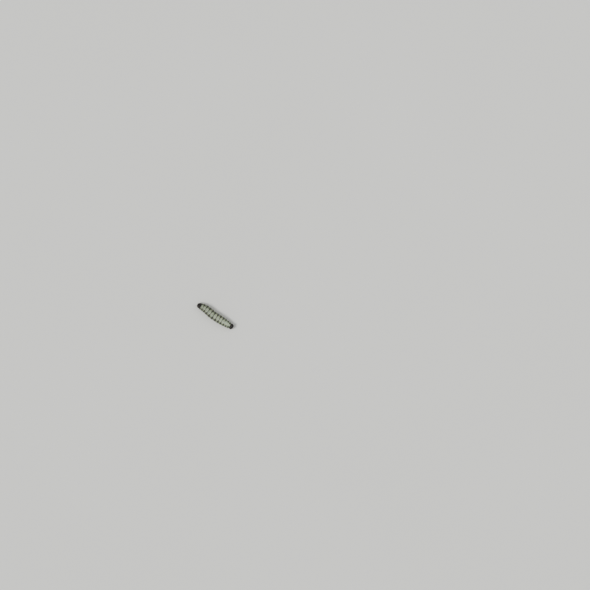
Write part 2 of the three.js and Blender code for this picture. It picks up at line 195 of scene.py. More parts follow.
@dataclass(frozen=True)
class BodyForm:
    """The soft body's shape, from the same sizes as the solids."""

    rings: tuple[Ring, ...] = (
        Ring("thorax_1", 0.26, 0.34, 0.3),
        Ring("thorax_2", 0.295, 0.39, 0.345),
        Ring("thorax_3", 0.32, 0.42, 0.375),
        Ring("abdomen_1", 0.34, 0.44, 0.395),
        Ring("abdomen_2", 0.36, 0.45, 0.405),
        Ring("abdomen_3", 0.37, 0.455, 0.41),
        Ring("abdomen_4", 0.38, 0.455, 0.41),
        Ring("abdomen_5", 0.38, 0.455, 0.41),
        Ring("abdomen_6", 0.37, 0.45, 0.405),
        Ring("abdomen_7", 0.34, 0.43, 0.39),
        Ring("abdomen_8", 0.305, 0.395, 0.355),
        Ring("abdomen_9", 0.235, 0.345, 0.305),
        Ring("abdomen_10", 0.275, 0.28, 0.24),
    )
    head_length: float = 0.4
    bow: float = 0.06
    # The rear swings out to the left and back over its last stretch, and makes this much of that turn.
    tail_swing: float = 0.1
    tail_swing_length: float = 2.1
    tail_swing_turn: float = 0.95
    belly_clearance: float = 0.11
    breast_clearance: float = 0.155
    clearance_reach: float = 1.5
    back_roundness: float = 2.2
    belly_roundness: float = 2.6
    belly_share: float = 0.96
    flank_folds: tuple[Fold, ...] = (Fold(-0.42, 0.26, -0.045), Fold(0.0, 0.22, 0.025))
    joint_fold: Fold = Fold(0.0, 0.075, 0.085)
    small_folds: tuple[Fold, ...] = (Fold(0.3, 0.035, 0.028), Fold(0.66, 0.035, 0.028))
    ring_swell: float = 0.015
    collar_share: float = 0.2
    collar_length: float = 0.4
    tail_bluntness: float = 2.4
    tail_overhang: float = 0.06
    ruler_step: float = 0.01

    @cached_property
    def starts(self) -> list[float]:
        """The station at which each ring starts, with the body's end after them."""
        return list(accumulate((ring.length for ring in self.rings), initial=self.head_length))

    @cached_property
    def middles(self) -> list[float]:
        """The station of each ring's middle."""
        return [start + ring.length / 2 for start, ring in zip(self.starts, self.rings)]

    @property
    def length(self) -> float:
        """From the front of the head to the end of the last ring."""
        return self.starts[-1]

    @property
    def tail(self) -> int:
        """The last ring's number, counted from 0."""
        return len(self.rings) - 1

    def station(self, count: float) -> float:
        """The station of a ring count, such as 2.5 for the middle of the third ring."""
        ring = min(int(count), self.tail)
        return self.starts[ring] + (count - ring) * self.rings[ring].length

    def ring_number(self, name: str) -> int:
        """A ring's number, from its name."""
        return next(i for i, ring in enumerate(self.rings) if ring.name == name)

    def ring_count(self, station: float) -> float:
        """How many rings lie ahead of a station, with the share of its own ring."""
        ring = min(max(bisect_right(self.starts, station) - 1, 0), self.tail)
        return ring + (station - self.starts[ring]) / self.rings[ring].length

    def lie(self, station: float) -> float:
        """How far the middle line lies to the left of the frame's axis.

        Args:
            station: Where along the body.

        Returns:
            Millimetres to the left, which are negative to the right.
        """
        swing = max(0.0, 1 - (self.length - station) / self.tail_swing_length) * self.tail_swing_turn
        bow = self.bow * math.sin(math.pi * station / self.length)
        return self.tail_swing * math.sin(math.pi * swing) ** 2 - bow

    def frame_at(self, station: float) -> Matrix:
        """The frame on the floor under the middle line, with its -Y along the body to the head.

        Args:
            station: Where along the body.

        Returns:
            The frame.
        """
        step = self.ruler_step
        heading = math.atan2(self.lie(station + step) - self.lie(station - step), 2 * step)
        place = Matrix.Translation((self.lie(station), station - self.length / 2, 0))
        return place @ Matrix.Rotation(-heading, 4, "Z")

    def size_at(self, station: float) -> tuple[float, float]:
        """The body's size at a station, which runs evenly from each ring's middle to the next.

        Args:
            station: Where along the body.

        Returns:
            The half width and the half height.
        """
        later = bisect_right(self.middles, station)
        a, b = self.rings[max(later - 1, 0)], self.rings[min(later, self.tail)]
        if a is b:
            return a.half_width, a.half_height
        share = (station - self.middles[later - 1]) / (self.middles[later] - self.middles[later - 1])
        return mix(a.half_width, b.half_width, share), mix(a.half_height, b.half_height, share)

    def clearance(self, station: float) -> float:
        """How high the underside hangs at a station."""
        lift = smoothstep(station, 0, self.clearance_reach)
        return mix(self.breast_clearance, self.belly_clearance, lift)

    def girth(self, count: float) -> float:
        """How the folds, the swell of each ring and the neck change the girth.

        Args:
            count: Where along the body, in rings.

        Returns:
            The factor for the body's size there.
        """
        ring = min(max(int(count), 0), self.tail)
        share = count - ring
        girth = 1 + self.ring_swell * math.sin(math.pi * min(max(share, 0), 1))
        girth -= self.joint_fold.depth * bell(share, self.joint_fold.width)
        if ring < self.tail:
            girth -= self.joint_fold.depth * bell(1 - share, self.joint_fold.width)
        girth -= sum(fold.depth * bell(share - fold.at, fold.width) for fold in self.small_folds)
        if ring == 0:
            girth -= self.collar_share * max(0.0, 1 - share / self.collar_length) ** 2
        return girth

    def middle_height(self, station: float) -> float:
        """The height of the section's middle above the floor."""
        return self.clearance(station) + self.size_at(station)[1] * self.belly_share

    def section(self, station: float) -> Section:
        """The body's section at a station.

        Args:
            station: Where along the body.

        Returns:
            The section, folds and all.
        """
        count = self.ring_count(station)
        width, height = self.size_at(station)
        girth = self.girth(max(count, 0.0))
        return Section(
            form=self,
            frame=self.frame_at(station),
            half_width=width * girth,
            half_height=height * girth,
            middle=self.middle_height(station),
            overhang=self.tail_overhang * max(0.0, count - self.tail),
        )

    def point(self, station: float, angle: float, reach: float = 1.0) -> Vector:
        """A point of the skin at an angle up from the left side, or inside it where reach is under 1."""
        return self.section(station).point(angle, reach)

    @cached_property
    def ruler(self) -> list[tuple[float, Matrix, float]]:
        """Stations at even steps, each with its frame undone and its middle height."""
        stations = [i * self.ruler_step for i in range(int(self.length / self.ruler_step) + 2)]
        return [(s, self.frame_at(s).inverted(), self.middle_height(s)) for s in stations]

    def locate(self, point: Vector) -> tuple[float, float]:
        """Finds where on the body a point lies.

        Args:
            point: A point in the body's own frame.

        Returns:
            Its station, and how far round from the back it lies, from 0 to 1 at the belly.
        """
        station = point.y + self.length / 2
        for _ in range(2):
            mark = min(max(round(station / self.ruler_step), 0), len(self.ruler) - 1)
            near, undo, middle = self.ruler[mark]
            local = undo @ point
            station = near + local.y
        station = min(max(station, self.head_length), self.length)
        return station, abs(math.atan2(abs(local.x), local.z - middle)) / math.pi


def add_node(
    tree: NodeTree,
    kind: str,
    inputs: dict[str | int, object],
    out: str | int = 0,
    stops: Iterable[tuple[float, tuple[float, ...]]] = (),
    **settings: object,
) -> NodeSocket | None:
    """Adds a node, sets it, and fills its inputs by value or by link.

    Args:
        tree: The node tree that it joins.
        kind: The node's type name, without the ShaderNode that all of them start with.
        inputs: A value or an output socket for each input, by name or number.
        out: The output that is wanted, by name or number.
        stops: A colour ramp's positions and colours, where the node is one.
        settings: The node's own properties.

    Returns:
        The wanted output, or None where the node has no outputs.
    """
    node = tree.nodes.new("ShaderNode" + kind)
    for name, value in settings.items():
        setattr(node, name, value)
    for key, value in inputs.items():
        if isinstance(value, NodeSocket):
            tree.links.new(value, node.inputs[key])
        else:
            node.inputs[key].default_value = value
    for i, (position, colour) in enumerate(stops):
        elements = node.color_ramp.elements
        stop = elements[i] if i < 2 else elements.new(position)
        stop.position, stop.color = position, colour
    return node.outputs[out] if node.outputs else None


def new_material(name: str) -> tuple[Material, NodeTree, NodeSocket]:
    """Starts an empty material.

    Args:
        name: The finish's name.

    Returns:
        The material, its node tree, and the object coordinates in millimetres.
    """
    material = bpy.data.materials.new(name)
    material.use_nodes = True
    tree = material.node_tree
    tree.nodes.clear()
    place = add_node(tree, "TexCoord", {}, out="Object")
    scaled = add_node(tree, "Mapping", {"Vector": place, "Scale": (1 / MM,) * 3})
    return material, tree, scaled


@dataclass(frozen=True)
class HardCuticle:
    """Sclerotised cuticle: smooth, dark and glossy, with a net of fine cell walls pressed into it."""

    name: str
    shade: str = "#0d0c0a"
    tint: str = "#2a1d12"
    pale: str = "#a5a68c"
    roughness: float = 0.2
    cell: float = 0.012
    relief: float = 0.0006
    ior: float = 1.55
    coat: float = 0.3

    def material(self) -> Material:
        """Builds the finish. A point attribute named pale turns it to soft light cuticle.

        Returns:
            The material.
        """
        material, tree, place = new_material(self.name)
        # Clouds of 0.14 mm lie under the net of cells, 0.012 mm wide where the finish says nothing else.
        cloud = add_node(tree, "TexNoise", {"Vector": place, "Scale": 7.0, "Detail": 4.0})
        cells = add_node(tree, "TexVoronoi", {"Vector": place, "Scale": 1 / self.cell})
        shades = [(0.42, linear(self.shade)), (0.8, linear(self.tint))]
        colour = add_node(tree, "ValToRGB", {0: cloud}, stops=shades)
        pale = add_node(tree, "Attribute", {}, out="Fac", attribute_name="pale")
        paints = {0: pale, 6: colour, 7: linear(self.pale)}
        shader = add_node(
            tree,
            "BsdfPrincipled",
            {
                "Base Color": add_node(tree, "Mix", paints, out=2, data_type="RGBA"),
                "Roughness": add_node(
                    tree, "MapRange", {0: cloud, 3: self.roughness * 0.8, 4: self.roughness * 1.35}
                ),
                "IOR": self.ior,
                "Coat Weight": self.coat,
                "Coat Roughness": 0.08,
                "Normal": add_node(
                    tree, "Bump", {"Height": cells, "Distance": self.relief * MM, "Strength": 0.6}
                ),
            },
        )
        add_node(tree, "OutputMaterial", {0: shader})
        return material


@dataclass(frozen=True)
class SkinSockets:
    """The sockets that tell the skin's finish a point's place on the body, and the noise there."""

    tree: NodeTree
    count: NodeSocket
    from_back: NodeSocket
    blotch: NodeSocket
    specks: NodeSocket


@dataclass(frozen=True)
class SoftCuticle:
    """Thin moist larval skin: pale grey-green, lit from within, with a dark band across each ring."""

    name: str = "soft_cuticle"
    pale: str = "#9ca78f"
    green: str = "#808c6e"
    cream: str = "#b4b89c"
    band: str = "#26251d"
    band_edge: str = "#3f3d30"
    line: str = "#6b6846"
    plate: str = "#15130f"
    band_at: float = 0.36
    line_at: float = 0.84
    band_softness: float = 0.14
    back_band: float = 0.75
    # The bar that the wave must pass to be dark, by how far round from the back. It never passes 1.
    band_bar: tuple[tuple[float, float], ...] = (
        (0.0, 1.0),
        (0.06, 0.9),
        (0.12, 0.64),
        (0.2, 0.44),
        (0.34, 0.29),
        (0.5, 0.31),
        (0.62, 0.62),
        (0.7, 1.0),
    )
    # How the pale skin darkens from the back down the flanks, and clears again below: partly the skin's
    # own greyer flank tone, partly painted shade.
    flank_tone_and_shade: tuple[tuple[float, tuple[float, float, float, float]], ...] = (
        (0.12, (1.0, 1.0, 1.0, 1.0)),
        (0.26, (0.48, 0.5, 0.45, 1.0)),
        (0.48, (0.41, 0.44, 0.38, 1.0)),
        (0.85, (0.72, 0.75, 0.68, 1.0)),
    )

    def material(self) -> Material:
        """Builds the finish from the skin's attributes ring_count, from_back and plate.

        Returns:
            The material.
        """
        material, tree, place = new_material(self.name)
        count, from_back, plate = (
            add_node(tree, "Attribute", {}, out="Fac", attribute_name=name)
            for name in ("ring_count", "from_back", "plate")
        )
        # Blotches of 0.15 mm push the bands' edges about, and specks of 0.02 mm fray them.
        blotch = add_node(tree, "TexNoise", {"Vector": place, "Scale": 6.5, "Detail": 3.0})
        specks = add_node(tree, "TexNoise", {"Vector": place, "Scale": 48.0, "Detail": 2.0})
        skin = SkinSockets(tree, count, from_back, blotch, specks)
        shove = add_node(tree, "MapRange", {0: blotch, 3: -0.11, 4: 0.11})
        pushed = add_node(tree, "Math", {0: count, 1: shove}, operation="ADD")
        stains = [(0.35, linear(self.band)), (0.75, linear(self.band_edge))]
        stain = add_node(tree, "ValToRGB", {0: specks}, stops=stains)
        colour = self.ground(skin)
        for share, paint in (
            (self.line_share(skin, pushed), linear(self.line)),
            (self.band_share(skin, pushed), stain),
            (plate, linear(self.plate)),
        ):
            colour = add_node(tree, "Mix", {0: share, 6: colour, 7: paint}, out=2, data_type="RGBA")
        shader = add_node(
            tree,
            "BsdfPrincipled",
            {
                "Base Color": colour,
                "Roughness": add_node(tree, "MapRange", {0: plate, 3: 0.42, 4: 0.24}),
                "IOR": 1.4,
                "Subsurface Weight": 0.35,
                "Subsurface Radius": (1.0, 0.85, 0.5),
                "Subsurface Scale": 0.05 * MM,
                "Coat Weight": 0.12,
                "Coat Roughness": 0.25,
                "Normal": self.bump(tree, place),
            },
        )
        add_node(tree, "OutputMaterial", {0: shader})
        return material

    @staticmethod
    def wave(tree: NodeTree, count: NodeSocket, at: float) -> NodeSocket:
        """A wave with one crest in each ring.

        Args:
            tree: The node tree.
            count: The ring count.
            at: The crest's share of the ring.

        Returns:
            The wave, from -1 to 1.
        """
        phase = add_node(tree, "Math", {0: count, 1: at}, operation="SUBTRACT")
        turn = add_node(tree, "Math", {0: phase, 1: 2 * math.pi}, operation="MULTIPLY")
        return add_node(tree, "Math", {0: turn}, operation="COSINE")

    def band_share(self, skin: SkinSockets, pushed: NodeSocket) -> NodeSocket:
        """How dark the band is: solid down each flank, a faint stripe across the back, none below.

        Args:
            skin: The skin's sockets.
            pushed: The ring count, pushed about by the blotches.

        Returns:
            The band's share, from 0 to 1.
        """
        tree = skin.tree
        wave = self.wave(tree, pushed, self.band_at)
        levels = [(share, (level, level, level, 1.0)) for share, level in self.band_bar]
        bar = add_node(tree, "ValToRGB", {0: skin.from_back}, stops=levels)
        height = add_node(tree, "MapRange", {0: bar, 3: -1.1, 4: 1.35}, clamp=False)
        thorax = add_node(tree, "MapRange", {0: skin.count, 1: 0.5, 2: 4.0, 3: 0.62, 4: 0.0})
        lifted = add_node(tree, "Math", {0: height, 1: thorax}, operation="ADD")
        over = add_node(tree, "Math", {0: wave, 1: lifted}, operation="SUBTRACT")
        fray = add_node(tree, "MapRange", {0: skin.specks, 3: -0.22, 4: 0.22})
        frayed = add_node(tree, "Math", {0: over, 1: fray}, operation="ADD")
        edge = {0: frayed, 1: -self.band_softness, 2: self.band_softness}
        flank = add_node(tree, "MapRange", edge, interpolation_type="SMOOTHSTEP")
        patchy = add_node(tree, "Math", {0: wave, 1: fray}, operation="ADD")
        faint = {0: patchy, 1: 0.35, 2: 0.75, 4: self.back_band}
        stripe = add_node(tree, "MapRange", faint, interpolation_type="SMOOTHSTEP")
        above = add_node(tree, "MapRange", {0: skin.from_back, 1: 0.45, 2: 0.62, 3: 1.0, 4: 0.0})
        behind = add_node(tree, "MapRange", {0: skin.count, 1: 1.8, 2: 4.0})
        reach = add_node(tree, "Math", {0: above, 1: behind}, operation="MULTIPLY")
        across = add_node(tree, "Math", {0: stripe, 1: reach}, operation="MULTIPLY")
        return add_node(tree, "Math", {0: flank, 1: across}, operation="MAXIMUM")

    def line_share(self, skin: SkinSockets, pushed: NodeSocket) -> NodeSocket:
        """How strong the thin ochre line near each ring's rear edge is.

        Args:
            skin: The skin's sockets.
            pushed: The ring count, pushed about by the blotches.

        Returns:
            The line's share, from 0 to 1.
        """
        wave = self.wave(skin.tree, pushed, self.line_at)
        line = add_node(skin.tree, "MapRange", {0: wave, 1: 0.86, 2: 0.99, 4: 0.55})
        above = add_node(skin.tree, "MapRange", {0: skin.from_back, 1: 0.3, 2: 0.6, 3: 1.0, 4: 0.0})
        return add_node(skin.tree, "Math", {0: line, 1: above}, operation="MULTIPLY")

    def ground(self, skin: SkinSockets) -> NodeSocket:
        """The pale skin between the bands, palest on the thorax, greener down the flanks, and darker
        there with painted shade.

        Args:
            skin: The skin's sockets.

        Returns:
            The colour.
        """
        tree = skin.tree
        greens = [(0.3, linear(self.green)), (0.5, linear(self.pale)), (0.75, linear(self.cream))]
        colour = add_node(tree, "ValToRGB", {0: skin.blotch}, stops=greens)
        # Painted shade down the flanks, mixed with the skin's own greyer flank tone; it clears again
        # towards the belly.
        shade = add_node(tree, "ValToRGB", {0: skin.from_back}, stops=self.flank_tone_and_shade)
        freckle = add_node(tree, "MapRange", {0: skin.specks, 1: 0.3, 2: 0.7, 3: 0.84, 4: 1.06})
        rearward = add_node(tree, "MapRange", {0: skin.count, 1: 1.0, 2: 11.0, 3: 1.22, 4: 0.82})
        light = add_node(tree, "Math", {0: freckle, 1: rearward}, operation="MULTIPLY")
        for factor in (shade, light):
            paints = {0: 1.0, 6: colour, 7: factor}
            colour = add_node(tree, "Mix", paints, out=2, data_type="RGBA", blend_type="MULTIPLY")
        return colour

    @staticmethod
    def bump(tree: NodeTree, place: NodeSocket) -> NodeSocket:
        """Grains of 0.011 mm over creases of 0.05 mm, which catch the light as a soft moist sparkle.

        Args:
            tree: The node tree.
            place: Object coordinates in millimetres.

        Returns:
            The normal.
        """
        crease = add_node(tree, "TexNoise", {"Vector": place, "Scale": 20.0, "Detail": 5.0})
        grain = add_node(tree, "TexVoronoi", {"Vector": place, "Scale": 90.0})
        creases = {"Height": crease, "Distance": 0.006 * MM, "Strength": 0.8}
        soft = add_node(tree, "Bump", creases)
        grains = {"Height": grain, "Distance": 0.0015 * MM, "Strength": 0.7, "Normal": soft}
        return add_node(tree, "Bump", grains)


@dataclass(frozen=True)
class Matte:
    """A matt painted board, even and pale, with a faint tooth."""

    name: str = "pale_board"
    shade: str = "#d9d8d2"
    roughness: float = 0.85

    def material(self) -> Material:
        """Builds the finish.

        Returns:
            The material.
        """
        material, tree, place = new_material(self.name)
        # Clouds of 20 mm, too faint to see as a pattern.
        cloud = add_node(tree, "TexNoise", {"Vector": place, "Scale": 0.05, "Detail": 3.0})
        bright = add_node(tree, "MapRange", {0: cloud, 3: 0.97, 4: 1.03})
        paints = {0: 1.0, 6: linear(self.shade), 7: bright}
        colour = add_node(tree, "Mix", paints, out=2, data_type="RGBA", blend_type="MULTIPLY")
        finish = {"Base Color": colour, "Roughness": self.roughness}
        add_node(tree, "OutputMaterial", {0: add_node(tree, "BsdfPrincipled", finish)})
        return material


def to_mesh(name: str, bm: BMesh) -> Mesh:
    """Turns a working mesh to a lasting one.

    Args:
        name: The new mesh's name.
        bm: The working mesh, which is freed.

    Returns:
        The new mesh.
    """
    mesh = bpy.data.meshes.new(name)
    bm.to_mesh(mesh)
    bm.free()
    return mesh


def add_object(name: str, data: ID) -> Object:
    """Adds data to the scene as an object.

    Args:
        name: The object's name.
        data: Its mesh, light or camera.

    Returns:
        The object.
    """
    added = bpy.data.objects.new(name, data)
    bpy.context.scene.collection.objects.link(added)
    return added


@dataclass(frozen=True)
class Stop:
    """One place along a tube: its middle and its radius."""

    middle: Vector
    radius: float


@dataclass(frozen=True)
class Length:
    """One length of a limb: where it starts and ends, its two radii, and how pale it is."""

    start: float
    end: float
    first: float
    last: float
    pale: float
    swell: float
    steps: int
    sides: int


@dataclass
class Clay:
    """A growing mesh in millimetres, to which small shapes are added one by one."""

    bm: BMesh = field(default_factory=bmesh.new)
    pale: float = 0.0
    # The side of the square that each face of a bristle takes of the unwrap.
    patch: float = 0.003

    def take(
        self,
        part: BMesh,
        place: Matrix | None = None,
        spot: tuple[float, float] | None = None,
    ) -> None:
        """Adds a shape and frees it, with how pale it is and where it grows.

        Args:
            part: The shape's own small mesh.
            place: Where it goes, or None to leave it.
            spot: Its root's place on the skin's unwrap, for a shape of the coat.
        """
        bmesh.ops.recalc_face_normals(part, faces=part.faces)
        if place:
            bmesh.ops.transform(part, matrix=place, verts=part.verts)
        layer = part.verts.layers.float.get("pale")
        if not layer:
            layer = part.verts.layers.float.new("pale")
            for vert in part.verts:
                vert[layer] = self.pale
        if spot:
            unwrap = part.loops.layers.uv.new("OFBake")
            for face in part.faces:
                for loop, corner in zip(face.loops, ((0, 0), (1, 0), (1, 1), (0, 1))):
                    loop[unwrap].uv = [s + self.patch * (c - 0.5) for s, c in zip(spot, corner)]
        mesh = to_mesh("clay", part)
        self.bm.from_mesh(mesh)
        bpy.data.meshes.remove(mesh)

    def tube(self, stops: list[Stop], sides: int, place: Matrix | None = None) -> None:
        """Adds a round tube through its stops, closed at both ends."""
        self.take(tube(stops, sides), place)

    def limb(self, root: Vector, way: Vector, lengths: Iterable[Length], place: Matrix) -> None:
        """Adds a straight limb of several lengths.

        Args:
            root: Where the limb starts.
            way: The way it goes. The lengths' starts and ends are told in it.
            lengths: Its lengths from root to tip.
            place: The frame that root and way are told in.
        """
        for part in lengths:
            self.pale = part.pale
            start, end = root + way * part.start, root + way * part.end
            stops = barrel(start, end, part.first, part.last, part.swell, part.steps)
            self.tube(stops, part.sides, place)


def row_of(point: Vector, rows: int) -> int:
    """The row of a ball that a point of it lies on, counted from the pole at the top."""
    return round(math.acos(max(-1.0, min(1.0, point.z))) / math.pi * rows)


def ball(around: int, rows: int, shape: Callable[[Vector], Vector]) -> BMesh:
    """Makes a closed shape of a unit ball.

    Args:
        around: How many sides the ball has.
        rows: How many rows it has from pole to pole.
        shape: Gives each point of the unit ball its place.

    Returns:
        The shape's mesh.
    """
    bm = bmesh.new()
    bmesh.ops.create_uvsphere(bm, u_segments=around, v_segments=rows, radius=1)
    for vert in bm.verts:
        vert.co = shape(vert.co)
    return bm


def tube(stops: list[Stop], sides: int) -> BMesh:
    """Makes a round tube through its stops, drawn from a ball whose rows become the stops.

    Args:
        stops: Middles and radii from end to end. The tube closes at the first and the last middle.
        sides: How many sides the tube has.

    Returns:
        The tube's mesh.
    """
    ends = [Stop(stops[0].middle, 0), *stops, Stop(stops[-1].middle, 0)]
    rows = len(ends) - 1
    across = None
    frames = []
    for i, stop in enumerate(ends):
        ahead = ends[min(i + 2, rows)].middle - ends[max(i - 2, 0)].middle
        ahead = ahead.normalized()
        across = across or ahead.orthogonal()
        across = (across - ahead * across.dot(ahead)).normalized()
        frames.append((stop, across, ahead.cross(across)))

    def place(point: Vector) -> Vector:
        """Puts a point of the ball on the tube.

        Args:
            point: The point of the ball.

        Returns:
            Its place on the tube.
        """
        turn = math.atan2(point.y, point.x)
        stop, side, other = frames[row_of(point, rows)]
        return stop.middle + (side * math.cos(turn) + other * math.sin(turn)) * stop.radius

    return ball(sides, rows, place)


def barrel(start: Vector, end: Vector, first: float, last: float, swell: float, steps: int) -> list[Stop]:
    """The stops of a rounded, slightly swollen piece of limb.

    Args:
        start: One end.
        end: The other end.
        first: The radius at the start.
        last: The radius at the end.
        swell: How much thicker it is in the middle, as a share.
        steps: How many steps it has.

    Returns:
        The stops from start to end.
    """
    stops = []
    for i in range(steps + 1):
        share = 0.5 - 0.5 * math.cos(math.pi * i / steps)
        round_off = min(1.0, 9 * min(share, 1 - share) + 0.42) ** 0.5
        radius = mix(first, last, share) * (1 + swell * math.sin(math.pi * share)) * round_off
        stops.append(Stop(start.lerp(end, share), radius))
    return stops


def spike(path: list[Vector], radius: float, tip: float, power: float = 1.0) -> list[Stop]:
    """The stops of a thin piece that tapers from root to tip, evenly where the power is 1."""
    last = len(path) - 1
    return [Stop(middle, radius * (1 - i / last) ** power + tip) for i, middle in enumerate(path)]


def bent_path(start: Vector, aim: Vector, length: float, bend: Vector, steps: int) -> list[Vector]:
    """A path that leaves along aim and whose tip leans off by bend, told as a share of its length."""
    shares = [i / steps for i in range(steps + 1)]
    return [start + (aim * share + bend * share**2) * length for share in shares]


@dataclass
class Workshop:
    """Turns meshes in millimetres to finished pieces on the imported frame."""

    shift: Vector

    def finish(
        self,
        bm: BMesh,
        name: str,
        material: Material,
        slot: str,
        replaced: Iterable[str] = (),
    ) -> None:
        """Makes a piece of a mesh: in metres, in its place, smooth, riding on the body.

        Args:
            bm: The mesh in millimetres, in the body's own frame. It is freed.
            name: The piece's name.
            material: Its finish.
            slot: The record's material slot. It is not used.
            replaced: The CAD nodes that it stands for.
        """
        bmesh.ops.translate(bm, vec=self.shift, verts=bm.verts)
        # The lowest buttons and bristles would dip a few thousandths of a millimetre into the floor.
        for vert in bm.verts:
            vert.co.z = max(vert.co.z, 0.0)
        bmesh.ops.scale(bm, vec=(MM, MM, MM), verts=bm.verts)
        mesh = to_mesh(name, bm)
        mesh.shade_smooth()
        mesh.materials.append(material)
        piece = add_object(name, mesh)
        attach(piece, "root")
        if replaced:
            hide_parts(*replaced)
        LOG.info("%s: %d faces", name, len(mesh.polygons))


@dataclass(frozen=True)
class ProlegSize:
    """A proleg's radii and heights from the sole up, and where it stands under its ring."""

    sole: float = 0.085
    sole_edge: tuple[float, float] = (0.09, 0.018)
    ankle: tuple[float, float] = (0.07, 0.045)
    calf: tuple[float, float] = (0.105, 0.11)
    root: tuple[float, float] = (0.15, 0.27)
    stance: float = 0.235
    splay: float = 0.03
    rake: float = 0.0
    place: float = 0.5

    def radius_at(self, height: float) -> float:
        """The leg's radius at a height.

        Args:
            height: Millimetres above the floor.

        Returns:
            The radius.
        """
        marks = [(self.sole, 0.0), self.sole_edge, self.ankle, self.calf, self.root]
        for (r0, h0), (r1, h1) in zip(marks, marks[1:]):
            if height <= h1:
                return mix(r0, r1, smoothstep(height, h0, h1))
        return self.root[0]

    def middle_at(self, height: float, side: Side) -> Vector:
        """The leg's middle at a height, in its ring's frame."""
        low = 1 - height / self.root[1]
        return Vector((side.value * (self.stance + self.splay * low), self.rake * low, height))


PROLEGS: dict[str, ProlegSize] = {
    **{f"abdomen_{n}": ProlegSize() for n in (3, 4, 5, 6)},
    "abdomen_10": ProlegSize(calf=(0.115, 0.11), root=(0.13, 0.25), stance=0.15, rake=0.05, place=0.4),
}


@dataclass(frozen=True)
class Shield:
    """The dark shield on a proleg: its place on the ring, half its length in rings, and how far out."""

    share: float
    half_length: float
    out: float


